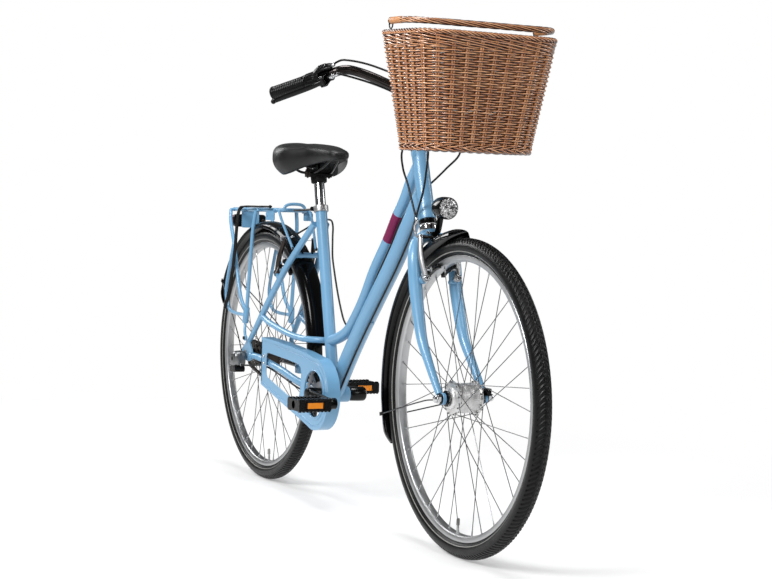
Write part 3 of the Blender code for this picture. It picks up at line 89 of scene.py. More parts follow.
def smooth(points, steps):
    """Points along a smooth curve through the given points, which may be unevenly spaced."""
    ends = [points[0] * 2 - points[1]] + list(points) + [points[-1] * 2 - points[-2]]
    slopes = []
    for before, here, after in zip(ends, ends[1:], ends[2:]):
        slopes.append((after - before) / ((after - here).length + (here - before).length))
    result = []
    for k, (first, last) in enumerate(zip(points, points[1:])):
        span = (last - first).length
        for step in range(steps):
            t = step / steps
            near = 2 * t ** 3 - 3 * t ** 2 + 1
            result.append(first * near + last * (1 - near) + slopes[k] * span * (t ** 3 - 2 * t ** 2 + t)
                          + slopes[k + 1] * span * (t ** 3 - t ** 2))
    return result + [points[-1]]


def curve(places, steps):
    return smooth(route(places), steps)


def spread(values, steps):
    """Sizes for the points of smooth(), evenly graded between the given ones."""
    result = []
    for first, second in zip(values, values[1:]):
        for step in range(steps):
            result.append(tuple(a + (b - a) * step / steps for a, b in zip(first, second)))
    return result + [tuple(values[-1])]


def path_frames(path, across, closed):
    """The point, sideways and upward directions at each point of a path."""
    frames, side, count = [], None, len(path)
    for k, point in enumerate(path):
        before = path[k - 1] if k > 0 or closed else point
        after = path[(k + 1) % count] if k < count - 1 or closed else point
        along = (after - before).normalized()
        wish = across if across is not None else side
        if wish is None:
            wish = Z if abs(along.z) < 0.9 else Y
        side = (wish - along * wish.dot(along)).normalized()
        frames.append((point, side, along.cross(side)))
    return frames


def axis_frame(axis):
    """An axis with a sideways and an upward direction."""
    axis = axis.normalized()
    wish = Z if abs(axis.z) < 0.9 else X
    side = (wish - axis * wish.dot(axis)).normalized()
    return axis, side, axis.cross(side)


def turn(side, up, angle):
    """The direction at an angle from one direction towards another."""
    return side * cos(angle) + up * sin(angle)


def arc(x, z, radius, start, end, count):
    """Places (x, z) along an arc, with angles in degrees that run from forward towards up."""
    angles = [radians(start + (end - start) * k / count) for k in range(count + 1)]
    return [(x + radius * cos(angle), z + radius * sin(angle)) for angle in angles]


def rounded(outline, radius, steps=5):
    """An (x, z) outline with its corners rounded."""
    result = []
    for k, corner in enumerate(outline):
        here = Vector(corner)
        to_last = Vector(outline[k - 1]) - here
        to_next = Vector(outline[(k + 1) % len(outline)]) - here
        cut = min(radius, to_last.length * 0.45, to_next.length * 0.45)
        first = here + to_last.normalized() * cut
        last = here + to_next.normalized() * cut
        for step in range(steps + 1):
            t = step / steps
            result.append((first * (1 - t) ** 2 + here * 2 * t * (1 - t) + last * t ** 2).to_tuple())
    return result


def rectangle(x_low, z_low, x_high, z_high, radius, steps=5):
    return rounded([(x_low, z_low), (x_high, z_low), (x_high, z_high), (x_low, z_high)], radius, steps)


def collar(inner, radius, low, high, cut, edge=None):
    """The profile of a sleeve from low to high, with both outer edges cut."""
    edge = cut if edge is None else edge
    return [(inner, low), (radius - cut, low), (radius, low + edge), (radius, high - edge),
            (radius - cut, high), (inner, high)]


# Shapes and pieces

BOX_FACES = [(0, 1, 3, 2), (4, 6, 7, 5), (0, 4, 5, 1), (2, 3, 7, 6), (0, 2, 6, 4), (1, 5, 7, 3)]


class Shape:
    """Points and faces of one piece, with a material number for each face."""

    def __init__(self):
        self.points = []
        self.faces = []
        self.slots = []

    def add(self, points, faces, slot=0):
        first = len(self.points)
        self.points.extend(points)
        self.faces.extend([[first + k for k in face] for face in faces])
        self.slots.extend(slot if isinstance(slot, list) else [slot] * len(faces))
        return self

    def skin(self, rings, slot=0, closed=False, caps=True):
        """A surface over rings of points. The slot may be given for each point of a ring."""
        count, total = len(rings[0]), len(rings)
        around = slot if isinstance(slot, list) else [slot] * count
        faces, slots = [], []
        for r in range(total if closed else total - 1):
            here, there = r * count, (r + 1) % total * count
            for k in range(count):
                m = (k + 1) % count
                faces.append([here + k, here + m, there + m, there + k])
                slots.append(around[k])
        if caps and not closed:
            faces += [list(range(count)), list(range((total - 1) * count, total * count))]
            slots += [around[0]] * 2
        return self.add([point for ring in rings for point in ring], faces, slots)

    def tube(self, path, size, sides=16, slot=0, across=None, closed=False):
        """A tube along a path. A size is a radius or a (half width, half height), or one per point."""
        sizes = size if isinstance(size, list) else [size] * len(path)
        rings = []
        for (point, side, up), extent in zip(path_frames(path, across, closed), sizes):
            wide, high = extent if isinstance(extent, tuple) else (extent, extent)
            rings.append([point + turn(side * wide, up * high, 2 * pi * (k + 0.5) / sides)
                          for k in range(sides)])
        return self.skin(rings, slot, closed)

    def rod(self, first, last, radius, sides=16, slot=0, edge=0):
        """A straight bar whose two ends may have a rounded edge."""
        if not edge:
            return self.tube([first, last], radius, sides, slot)
        along = (last - first).normalized()
        (_, side, up), _ = path_frames([first, last], None, False)
        rings = []
        for point, way in ((first, 1), (last, -1)):
            for step, cut in ((0, 1), (0.3, 0.3), (1, 0))[::way]:
                centre = point + along * way * edge * step
                rings.append([centre + turn(side, up, 2 * pi * k / sides) * (radius - edge * cut)
                              for k in range(sides)])
        return self.skin(rings, slot)

    def lathe(self, profile, centre, axis, steps=48, slot=0):
        """Turns a closed profile of (radius, distance along the axis) points about an axis."""
        axis, side, up = axis_frame(axis)
        rings = []
        for step in range(steps):
            out = turn(side, up, 2 * pi * step / steps)
            rings.append([centre + out * radius + axis * along for radius, along in profile])
        return self.skin(rings, slot, closed=True)

    def disc(self, centre, axis, radius, height, steps=24, slot=0, inner=0, top=None):
        """A round plate or washer, whose top may have another radius."""
        return self.lathe([(inner, 0), (radius, 0), (radius if top is None else top, height),
                           (inner, height)], centre, axis, steps, slot)

    def box(self, low, high, slot=0):
        return self.add([vec(x, y, z) for x in (low[0], high[0]) for y in (low[1], high[1])
                         for z in (low[2], high[2])], BOX_FACES, slot)

    def brick(self, centre, along, side, half, slot=0):
        """A box with its own directions: half sizes along, sideways and upwards."""
        along = along.normalized()
        side = (side - along * side.dot(along)).normalized()
        up = along.cross(side)
        return self.add([centre + along * half[0] * a + side * half[1] * b + up * half[2] * c
                         for a in (-1, 1) for b in (-1, 1) for c in (-1, 1)], BOX_FACES, slot)

    def slab(self, outline, depth, holes=(), slot=0):
        """A flat outline of points, with holes, pushed along the depth vector."""
        loops = [list(outline)] + [list(hole) for hole in holes]
        flat = [point for loop in loops for point in loop]
        count, faces, start = len(flat), [], 0
        for face in tessellate_polygon(loops):
            faces += [list(face), [count + k for k in face]]
        for loop in loops:
            size = len(loop)
            for k in range(size):
                here, there = start + k, start + (k + 1) % size
                faces.append([here, there, there + count, here + count])
            start += size
        return self.add(flat + [point + depth for point in flat], faces, slot)

    def plate(self, outline, y_low, y_high, holes=(), slot=0):
        """An upright plate from outlines of (x, z) places."""
        loops = [[mm(x, y_low, z) for x, z in loop] for loop in (outline, *holes)]
        return self.slab(loops[0], Y * (y_high - y_low), loops[1:], slot)

    def ball(self, centre, radius, slot=0, steps=16):
        half = [(radius * sin(pi * k / 8), -radius * cos(pi * k / 8)) for k in range(9)]
        return self.lathe(half, centre, Z, steps, slot)

    def bolt(self, centre, axis, radius, height, slot=0, dark=1):
        """A round socket head, whose socket walls and floor take the near-black slot given last: painted
        shade inside the recess.
        """
        profile = [(0, 0), (radius, 0), (radius, height * 0.75), (radius * 0.85, height),
                   (radius * 0.52, height), (radius * 0.50, height * 0.45), (0, height * 0.40)]
        return self.lathe(profile, centre, axis, 18, [slot] * 4 + [dark, dark, slot])

    def nut(self, centre, axis, radius, height, slot=0):
        """A six-sided nut with its corners turned off."""
        axis, side, up = axis_frame(axis)
        rings = []
        for share, along in ((0.86, 0.0), (1.0, 0.12), (1.0, 0.88), (0.86, 1.0)):
            rings.append([centre + axis * height * along + turn(side, up, pi / 3 * k) * radius * share
                          for k in range(6)])
        return self.skin(rings, slot)

    def rope(self, path, strands, thickness, reach, turns, sides=6, slot=0, closed=False):
        """Strands twisted round a path: their radius, their distance from it and the whole turns."""
        frames = path_frames(path, Z, closed)
        last = len(path) - (0 if closed else 1)
        for strand in range(strands):
            line = [point + turn(side, up, 2 * pi * (strand / strands + turns * k / last)) * reach
                    for k, (point, side, up) in enumerate(frames)]
            self.tube(line, thickness, sides, slot, closed=closed)
        return self


# The slot of the visual model that goes with each material.
LOOKS = {"paint": "blue_paint", "band": "blue_paint", "leather": "saddle_skin", "rubber": "black_rubber",
         "hollow": "black_plastic", "black_paint": "black_metal", "chrome": "bright_metal",
         "alloy": "bright_metal", "steel": "dull_metal", "dark_steel": "dull_metal", "wire": "bright_metal",
         "satin": "bright_metal", "plastic": "black_plastic", "orange": "black_plastic",
         "cap_metal": "dull_metal", "bar_metal": "grey_bar", "willow": "willow", "tan": "willow",
         "gloss_black": "black_plastic", "faceted": "bright_metal", "red": "red_lens",
         "woven_black": "black_rubber", "cable": "black_rubber", "tyre": "tyre_rubber"}


def piece(name, shape, materials, body, nodes=(), slot=None, bevel=0, sharp=34):
    """One visible object: its mesh, its materials, the body it rides on and the nodes it stands for.

    The slot argument is not used.
    """
    mesh = bpy.data.meshes.new(name)
    mesh.from_pydata([point * METRES for point in shape.points], [], shape.faces)
    mesh.polygons.foreach_set("material_index", shape.slots)
    bm = bmesh.new()
    bm.from_mesh(mesh)
    bmesh.ops.remove_doubles(bm, verts=bm.verts, dist=2e-6)
    loose = [vertex for vertex in bm.verts if not vertex.link_faces]
    bmesh.ops.delete(bm, geom=loose, context="VERTS")
    bmesh.ops.recalc_face_normals(bm, faces=bm.faces)
    bm.to_mesh(mesh)
    bm.free()
    materials = materials.split()
    for word in materials:
        mesh.materials.append(M[word])
    mesh.shade_smooth()
    mesh.set_sharp_from_angle(angle=radians(sharp))
    thing = bpy.data.objects.new(name, mesh)
    bpy.context.scene.collection.objects.link(thing)
    if bevel:
        change = thing.modifiers.new("edges", "BEVEL")
        change.width = bevel * METRES
        change.segments = 2
        change.limit_method = "ANGLE"
        change.angle_limit = radians(40)
        change.harden_normals = False
    if body:
        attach(thing, body)
    if nodes:
        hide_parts(*nodes.split())
    slot = slot or LOOKS.get(materials[0])
    return thing


# Materials

def linear(red, green, blue):
    """A colour as it looks on a screen, 0 to 255, as the shader takes it."""
    return tuple(((c / 255 + 0.055) / 1.055) ** 2.4 for c in (red, green, blue))


class Graph:
    """The nodes of a material or a world, each added with its values and links in one call."""

    def __init__(self, owner):
        owner.use_nodes = True
        self.nodes = owner.node_tree.nodes
        self.link = owner.node_tree.links.new

    def node(self, kind, ties=(), **values):
        """A new node. Ties are (input, node, output), and values go by the name of the input."""
        new = self.nodes.new("ShaderNode" + kind)
        for target, source, output in ties:
            self.link(source.outputs[output], new.inputs[target])
        return self.set(new, **values)

    def set(self, node, **values):
        for word, value in values.items():
            node.inputs[word.replace("_", " ")].default_value = value
        return node

    def ramp(self, source, output, *stops):
        """A colour ramp with stops of (place, colour)."""
        ramp = self.node("ValToRGB", [("Fac", source, output)])
        band = ramp.color_ramp.elements
        band[0].position, band[1].position = stops[0][0], stops[-1][0]
        for place, _ in stops[1:-1]:
            band.new(place)
        for element, (_, colour) in zip(band, stops):
            element.color = (*colour, 1.0)
        return ramp

    def pressed(self, scale, strength):
        """Small cells pressed into the surface instead of its grain."""
        cells = self.node("TexVoronoi", [("Vector", self.node("TexCoord"), "Object")], Scale=scale)
        self.link(cells.outputs["Distance"], self.nodes["relief"].inputs["Height"])
        self.set(self.nodes["relief"], Strength=strength)
        return cells


def make(name, colour, rough, metal=0.0, vary=0.10, patch=45.0, grain=1400.0, bump=0.03,
         rough_vary=0.06, spec=None, **constants):
    """A surface whose colour and gloss change in soft patches and which has a fine grain."""
    material = bpy.data.materials.new(name)
    graph = Graph(material)
    shader = graph.nodes["Principled BSDF"]
    coords = graph.node("Mapping", [("Vector", graph.node("TexCoord"), "Object")])
    cloud = graph.node("TexNoise", [("Vector", coords, "Vector")], Scale=patch, Detail=6.0)
    ramp = graph.ramp(cloud, "Fac", (0.30, [c * (1 - vary) for c in colour]),
                      (0.70, [min(1.0, c * (1 + vary)) for c in colour]))
    ramp.name = "colours"
    gloss = graph.node("MapRange", [("Value", cloud, "Fac")], From_Min=0.3, From_Max=0.7,
                       To_Min=max(0.02, rough - rough_vary), To_Max=rough + rough_vary)
    fine = graph.node("TexNoise", [("Vector", coords, "Vector")], Scale=grain, Detail=3.0)
    relief = graph.node("Bump", [("Height", fine, "Fac")], Strength=bump, Distance=0.001)
    relief.name = "relief"
    for source, output, target in ((ramp, "Color", "Base Color"), (gloss, "Result", "Roughness"),
                                   (relief, "Normal", "Normal")):
        graph.link(source.outputs[output], shader.inputs[target])
    if spec is not None:
        constants["Specular_IOR_Level"] = spec
    graph.set(shader, Metallic=metal, **constants)
    M[name] = material
    return graph


def make_willow():
    """Varnished willow: each strand has its own tone, with darker flecks, and painted shade in the crevices
    between rows.
    """
    graph = make("willow", linear(250, 162, 112), 0.30, vary=0.34, patch=95.0, grain=700.0, bump=0.30,
                 Coat_Weight=0.6, Coat_Roughness=0.14)
    geometry = graph.node("NewGeometry")
    shades = graph.ramp(geometry, "Random Per Island", (0.0, linear(118, 60, 26)),
                        (0.5, linear(174, 116, 70)), (1.0, linear(222, 168, 120)))
    mix = graph.node("MixRGB", [("Color1", graph.nodes["colours"], "Color"), ("Color2", shades, "Color")],
                     Fac=0.55)
    # Painted shade: the faces of each strand that point up or down, into the gaps between rows, are darkened
    # towards deep brown.
    parts = graph.node("SeparateXYZ", [("Vector", geometry, "Normal")])
    slope = graph.node("Math", [(0, parts, "Z")])
    slope.operation = "ABSOLUTE"
    painted_crevice_shade = graph.node("MapRange", [("Value", slope, 0)], From_Min=0.14, From_Max=0.60, To_Max=0.98)
    painted_crevice_shade.interpolation_type = "SMOOTHSTEP"
    crevice_shade_mix = graph.node("MixRGB", [("Fac", painted_crevice_shade, "Result"), ("Color1", mix, "Color")],
                         Color2=(*linear(40, 5, 0), 1.0))
    graph.link(crevice_shade_mix.outputs["Color"], graph.nodes["Principled BSDF"].inputs["Base Color"])


def make_ringed(name, colour, rough, axle_x):
    """Turned metal with fine rings round a wheel's axle."""
    centre = mm(axle_x, 0, AXLE_Z) * METRES
    graph = make(name, colour, rough, 1.0, vary=0.05)
    shift = graph.node("Mapping", [("Vector", graph.node("TexCoord"), "Object")],
                       Location=(-centre.x, 0.0, -centre.z), Scale=(1.0, 0.0, 1.0))
    wave = graph.node("TexWave", [("Vector", shift, "Vector")], Scale=160.0, Distortion=1.0)
    wave.wave_type = "RINGS"
    wave.rings_direction = "SPHERICAL"
    graph.link(wave.outputs["Fac"], graph.nodes["relief"].inputs["Height"])


def make_painted_reflections():
    """A lamp's reflector and lens under a glossy coat, with painted reflections: each facet's colour is
    bright or dark by its cell.
    """
    graph = make("faceted", (0.72, 0.72, 0.73), 0.16, 0.75, vary=0.05, Coat_Weight=0.8, Coat_Roughness=0.04)
    cells = graph.pressed(210.0, 0.55)
    graph.set(graph.nodes["relief"], Distance=0.003)
    # Painted reflections: the facets' colours run from near black to bright grey.
    parts = graph.node("SeparateColor", [("Color", cells, "Color")])
    shades = graph.ramp(parts, "Red", (0.0, (0.01, 0.01, 0.012)), (1.0, (0.70, 0.70, 0.71)))
    graph.link(shades.outputs["Color"], graph.nodes["Principled BSDF"].inputs["Base Color"])


def make_materials():
    make("paint", linear(104, 153, 188), 0.36, vary=0.03, patch=14.0, grain=260.0, bump=0.008,
         rough_vary=0.03, Coat_Weight=0.30, Coat_Roughness=0.10)
    make("band", linear(112, 0, 66), 0.42, patch=30.0, spec=0.3)
    make("chrome", (0.56, 0.57, 0.58), 0.14, 1.0, vary=0.03, bump=0.01, rough_vary=0.04)
    make("alloy", (0.46, 0.465, 0.47), 0.40, 1.0, vary=0.05, grain=1600.0, bump=0.010)
    make("cap_metal", (0.20, 0.205, 0.21), 0.36, 1.0, vary=0.06, bump=0.012)
    make("satin", (0.66, 0.66, 0.655), 0.47, 0.9, vary=0.03, patch=20.0, bump=0.004, rough_vary=0.03)
    make("steel", (0.30, 0.30, 0.31), 0.36, 1.0, vary=0.15, bump=0.08)
    make("wire", (0.13, 0.13, 0.135), 0.34, 1.0, vary=0.15)
    make("dark_steel", (0.040, 0.033, 0.029), 0.40, 0.7, vary=0.25, patch=120.0, bump=0.08, spec=0.3)
    make("bar_metal", linear(50, 46, 45), 0.20, 0.85, vary=0.08, patch=25.0, rough_vary=0.04)
    make("black_paint", linear(5, 5, 6), 0.20, vary=0.15, spec=0.22)
    make("gloss_black", linear(3, 3, 4), 0.14, vary=0.15, patch=18.0, bump=0.012, rough_vary=0.04, spec=0.20)
    make("plastic", linear(5, 5, 6), 0.27, vary=0.15, grain=2200.0, bump=0.12, spec=0.18)
    make("rubber", linear(6, 6, 7), 0.28, vary=0.18, grain=1800.0, bump=0.15, spec=0.18)
    make("tyre", linear(6, 6, 6), 0.34, vary=0.22, patch=60.0, grain=1500.0, bump=0.20, spec=0.22)
    make("stripe", linear(138, 138, 134), 0.40, 0.2, grain=2500.0, bump=0.20)
    make("cable", linear(8, 8, 9), 0.36, grain=1200.0, bump=0.05, spec=0.3)
    make("tan", linear(190, 134, 86), 0.42, vary=0.14, patch=90.0, grain=600.0, bump=0.3)
    # Near-black: the real colour of black plastic parts, and painted shade inside bolt sockets and small
    # holes.
    make("hollow", linear(5, 5, 5), 0.8, vary=0.2, spec=0.2)
    make("woven_black", linear(12, 12, 13), 0.75, vary=0.2, grain=1900.0, bump=0.45, spec=0.25)
    for name, colour, rough, cells, strength, through in (
            ("orange", linear(255, 150, 34), 0.16, 420.0, 0.4, 0.25),
            ("clear", (0.97, 0.98, 0.99), 0.02, 160.0, 0.04, 1.0),
            ("red", linear(176, 16, 14), 0.12, 360.0, 0.5, 0.75)):
        make(name, colour, rough, vary=0.02, rough_vary=0.01, bump=0.0, IOR=1.40,
             Transmission_Weight=through).pressed(cells, strength)
    make_painted_reflections()
    make_willow()
    make("leather", linear(6, 6, 7), 0.44, vary=0.15, patch=30.0, grain=900.0, spec=0.36).pressed(900.0, 0.12)
    make_ringed("front_rim_metal", (0.46, 0.465, 0.47), 0.40, WHEELBASE)
    make_ringed("rear_rim_metal", (0.42, 0.425, 0.43), 0.36, 0)


# Frame tubes

# Centre lines of the two main tubes from front to back: the distance ahead of the rear axle and the height.
UPPER = [(904.6, 868), (864, 825), (830, 779), (793, 739), (748, 684), (678, 610), (620, 534),
         (568, 481), (531, 451), (477, 430), (424, 418)]
DOWN = [(922, 800), (895, 765), (853, 712), (789, 638), (688, 537), (583, 430), (490, 324), (466, 292)]
HEAD = mm(926, 0, 802)
SEAT_AXIS = vec(-0.242, 0, 1)
AHEAD = vec(STEER.z, 0, -STEER.x)
BACK = vec(-0.7115, 0, 0.7027)
STAND_PIVOT = mm(90, 79, 314)


def flat(places):
    return [(x, 0, z) for x, z in places]


def span(side, near, far):
    """Two distances from the middle on one side, the lower first."""
    return sorted((side * near, side * far))


def on_steering(z):
    return mm(926 + 0.325 * (802 - z), 0, z)


def steer_along(z):
    return (z - 802) / STEER.z


def on_seat_tube(z):
    return mm(457 - 0.242 * (z - 285), 0, z)


def rear_boss(side):
    return mm(188, side * 47.5, 560), BACK


def front_boss(side):
    return mm(997.5, side * 40, 596), AHEAD


def add_frame():
    head = [(20, 735), (20.2, 744), (18.9, 752), (18.5, 775), (18.5, 872), (18.9, 879), (19.8, 884),
            (19.8, 890), (15, 890), (15, 735)]
    shape = Shape().lathe([(r, steer_along(z)) for r, z in head], HEAD, STEER, 56)
    piece("head_tube_shell", shape, "paint", "frame", "head_tube", bevel=0.5)

    shape = Shape().tube(curve(flat(UPPER), 6), 14, 36, across=Y)
    piece("upper_tube_shell", shape, "paint", "frame", "upper_tube")
    painted = [p for p in curve(flat(UPPER[2:6]), 10) if 682 < p.z < 750.5]
    piece("upper_tube_band", Shape().tube(painted, 14.15, 36, across=Y), "band", "frame")

    path = curve(flat(DOWN), 6)
    down = Shape().tube(path, spread([(17.2, 22), (19.5, 22)] + [(22, 22)] * 6, 6), 40, across=Y)
    for share in (0.30, 0.62):
        place = path[int(len(path) * share)]
        down.tube([place + vec(12.5, 0, -18.3), place + vec(16.5, 0, -23.5)], (3, 6), 10)
    piece("down_tube_shell", down, "paint", "frame", "down_tube")

    reach = (762.5 - 285) * 1.0289
    seat = Shape().lathe([(15, 0), (15, reach), (13.8, reach), (13.8, 300), (0, 300)], on_seat_tube(285),
                         SEAT_AXIS, 40)
    seat.lathe(collar(9.2, 20, -34, 34, 0.8), mm(465, 0, 285), Y, 44)
    for z, along, radius, height in ((418, vec(1, 0, -0.03), 15.2, 2), (306, SEAT_AXIS, 15, 2.2),
                                     (719.5, SEAT_AXIS, 14.6, 1.6)):
        bead = [(radius + height * sin(a) * 0.5, -height * cos(a)) for a in [pi * k / 6 for k in range(7)]]
        seat.lathe([(radius - 2, -height), *bead, (radius - 2, height)], on_seat_tube(z), along, 40)
    piece("seat_tube_shell", seat, "paint", "frame", "seat_tube", bevel=0.5)

    for side, word in SIDES:
        add_stays(side, word)
    half = [(90, 56.5, 462), (130, 55, 448), (175, 52, 438), (260, 46.5, 424), (330, 41, 417.8),
            (356, 36, 417.5), (378, 24.5, 417.5), (390, 11, 417.5)][::-1]
    mids = Shape().tube(curve([*mirrored(half), (393, 0, 417.5), *half], 5), 8, 24, across=Z)
    mids.rod(mm(390, 0, 417.5), mm(412, 0, 417.5), 7, 24)
    piece("mid_stay_loop", mids, "paint", "frame", "mid_stays")
    bridge = Shape().rod(mm(256, -36.5, 632), mm(256, 36.5, 632), 7.5, 28)
    # Two near-black discs on top of the bridge: painted shade for its holes.
    for y in (-14, 14):
        bridge.disc(mm(260.5, y, 637.5), vec(0.6, 0, 0.75), 3, 0.6, 14, 1)
    piece("stay_bridge_tube", bridge, "paint hollow", "frame", "stay_bridge")


def add_stays(side, word):
    """Seat stay, chain stay and end plate on one side."""
    path = curve([(x, side * y, z) for x, y, z in ((341, 16.5, 716), (335, 18, 710), (217.5, 45, 591),
                                                   (18, 62, 389))], 8)
    count = len(path) - 1
    sizes = [8.75 - 2.2 * max(0, k - count * 0.86) / (count * 0.14) for k in range(count + 1)]
    seat = Shape().tube(path, sizes, 26, across=Y)
    seat.ball(path[-1], 6.6)
    root, back = rear_boss(side)
    seat.rod(root, root + back * 24, 6, 20, edge=0.6)
    piece("seat_stay_tube_" + word, seat, "paint", "frame", "seat_stay_" + word)

    places = [(30, 63, 348), (60, 58, 346.5), (100, 51, 341), (160, 48.5, 332), (226, 46.5, 322),
              (300, 40, 305), (345, 33, 297), (385, 28.5, 291), (450, 25.5, 285)]
    sizes = [(7.5 + sin(pi * k / 8), 8.5 + 2.8 * k / 8) for k in range(9)]
    chain = Shape().tube(curve([(x, side * y, z) for x, y, z in places], 5), spread(sizes, 5), 28, across=Y)
    outline = [(-30, 338), (20, 330), (46, 338), (46, 360), (24, 385), (8, 392), (-6, 376), (-30, 362)]
    slot_shape = [(-28.5, 343.8), (-28.5, 354.2)] + arc(0, AXLE_Z, 5.2, 90, -90, 8)
    chain.plate(rounded(outline, 8), *span(side, 62.5, 67.5), [slot_shape])
    if side > 0:
        chain.box(STAND_PIVOT + vec(-13, -29, -12), STAND_PIVOT + vec(13, -4.5, 20))
        chain.bolt(STAND_PIVOT + vec(0, -29, 6), -Y, 5.5, 4)
    piece("chain_stay_tube_" + word, chain, "paint hollow", "frame", "chain_stay_" + word, bevel=0.6)


# Saddle and seat post

# Sections from back to front: distance ahead of the rear axle, half the width, the top and the lower edge.
SADDLE = [(176, 52, 913, 877), (181, 64, 921.5, 866), (195, 78, 927, 853), (215, 87.5, 929, 846),
          (240, 95.5, 928.5, 842.5), (265, 99, 927, 842.5), (290, 96.5, 925, 846), (315, 84, 922.5, 854),
          (340, 67, 920.5, 862), (365, 51, 918, 868), (395, 40, 914.5, 873), (425, 33, 910.5, 876.5),
          (450, 27, 905, 878.5), (462, 19, 899, 881.5), (466, 9, 893, 884.5)]


def saddle_ring(x, half, top, low, sides=44):
    """One section: a rounded top, sides that bulge and tuck under, and a hollow below."""
    ring = []
    middle = low + (top - low) * 0.48
    for k in range(sides + 1):
        angle = radians(-48 + 276 * k / sides)
        across, rise = cos(angle), sin(angle)
        y = half * copysign(abs(across) ** (0.66 if rise >= 0 else 0.9), across)
        if rise >= 0:
            z = middle + (top - middle) * rise ** 0.60
        else:
            z = middle + (middle - low) * rise / sin(radians(48))
        dip = 1.8 * exp(-(y / 12) ** 2) if rise > 0.8 and x < 400 else 0
        ring.append(mm(x, y, z - dip))
    wide = min(1.0, max(0.0, (half - 30) / 40))
    roof = max(0.0, (min(879.5, top - 16) - low) * wide - 1)
    for share, height in ((0.60, 0.08), (0.55, 0.50), (0.48, 1), (0, 1), (-0.48, 1), (-0.55, 0.50),
                          (-0.60, 0.08)):
        ring.append(mm(x, -half * share, low + 1 + roof * height))
    return ring


def add_saddle():
    fine = []
    for k, values in enumerate(smooth([vec(s[0], s[1], 0) for s in SADDLE], 4)):
        low = min(k // 4, len(SADDLE) - 2)
        first, last = SADDLE[low], SADDLE[low + 1]
        fine.append((values.x, values.y, *[first[m] + (last[m] - first[m]) * (k / 4 - low) for m in (2, 3)]))
    rings = [saddle_ring(*values) for values in fine]
    cover = Shape().skin(rings, [0] * 45 + [1] * (len(rings[0]) - 45))
    thing = piece("saddle_cushion", cover, "leather hollow", "frame", "saddle_cover", sharp=80)
    bumpers = Shape()
    for y in (-30, 30):
        bumpers.rod(mm(190, y, 862), mm(190, y, 880), 9, 20, edge=3)
    piece("saddle_bumpers", bumpers, "rubber", "frame")

    outline = [(x + (300 - x) * 0.13, -half * 0.74, 880) for x, half, _, _ in fine[2:-2]]
    tray = Shape().slab(route(outline + mirrored(outline)), Z * 6)
    tray.box(mm(203, -36, 866), mm(222, 36, 886))
    clamp = on_seat_tube(848)
    tray.box(clamp + vec(-20, -30, -10.5), clamp + vec(20, 30, -1.5))
    tray.box(clamp + vec(-18, -29, 1.5), clamp + vec(18, 29, 10))
    tray.lathe([(14.5, -16), (20.5, -14), (21.5, 4), (14.5, 6)], on_seat_tube(838), SEAT_AXIS, 32)
    tray.rod(clamp - Y * 37, clamp + Y * 37, 4.2, 16, 1)
    rails = Shape()
    for side, _ in SIDES:
        tray.nut(clamp + Y * side * 30.5, Y * side, 8, 6, 1)
        tray.disc(clamp + Y * side * 29.5, Y * side, 13.5, 1.2, 24, 1)
        rails.tube(curve([(206, side * 43, 884), (226, side * 41, 872), (262, side * 30, 853),
                          (300, side * 22, 848), (345, side * 22, 848), (385, side * 16, 862),
                          (425, side * 10, 884)], 7), 3.5, 16, across=Y)
    piece("saddle_tray", tray, "hollow dark_steel", "frame", "saddle_base", bevel=1)
    piece("saddle_rails", rails, "black_paint", "frame")

    post = Shape().rod(on_seat_tube(605), on_seat_tube(845), 13.5, 40, edge=0.8)
    piece("seat_post_tube", post, "chrome", "frame", "seat_post")
    top = on_seat_tube(755)
    ring = Shape().lathe([(15.2, -8), (18.8, -8), (19.2, -6), (19.2, 6), (18.8, 8), (13.6, 8.5), (13.6, 9.5),
                          (15.2, 9.5)], top, SEAT_AXIS, 40)
    for side, _ in SIDES:
        low, high = span(side, 1.5, 9)
        ring.box(top + vec(-33, low, -6.5), top + vec(-16.5, high, 6.5))
    ring.rod(top + vec(-27, -15, 0), top + vec(-27, 19, 0), 2.8, 14, 1)
    ring.bolt(top + vec(-27, -9, 0), -Y, 5.8, 8.5, 1, 2)
    ring.nut(top + vec(-27, 9.2, 0), Y, 6.2, 5, 1)
    piece("seat_clamp_ring", ring, "alloy black_paint hollow", "frame", "seat_clamp", "dull_metal", 0.8)


# Wheels

RIM_INNER = 297.2
TYRE_STEPS = 1440
SPOKES = 36


def wheel_point(axle_x, radius, angle, y):
    return mm(axle_x + radius * cos(angle), y, AXLE_Z + radius * sin(angle))


def tread_depth(step, spot, tilt):
    """How deep the tread is cut at a step round the wheel and an angle across the tyre."""
    away = abs(tilt)
    if away > 62:
        return 0
    if away < 9:
        return 1.4 if (step + spot) % 16 < 3 else 0
    if away < 14:
        return 1.7 if (step // 4) % 2 == 0 else 0.4
    return 1.9 if (step + (4 if tilt > 0 else 0) + int(away / 5)) % 8 < 3 else 0


def add_tyre(word, axle_x):
    edge = [-142, -134, -126, -123, -117, -110, -98, -88, -78, -70, -64]
    across = edge + [k * 5 for k in range(-12, 13)] + [-value for value in reversed(edge)]
    rings = []
    for step in range(TYRE_STEPS):
        angle = 2 * pi * step / TYRE_STEPS
        ring = [wheel_point(axle_x, 310.8, angle, -10.8)]
        for spot, tilt in enumerate(across):
            reach = 19.5 - tread_depth(step, spot, tilt)
            ring.append(wheel_point(axle_x, 329.3 + reach * cos(radians(tilt)), angle,
                                    reach * sin(radians(tilt))))
        rings.append(ring + [wheel_point(axle_x, 310.8, angle, 10.8)])
    slots = [0] * (len(across) + 2)
    slots[4] = slots[len(across) - 4] = 1
    piece(word + "_tyre_cover", Shape().skin(rings, slots, closed=True), "tyre stripe", word + "_wheel",
          word + "_tyre", sharp=42)


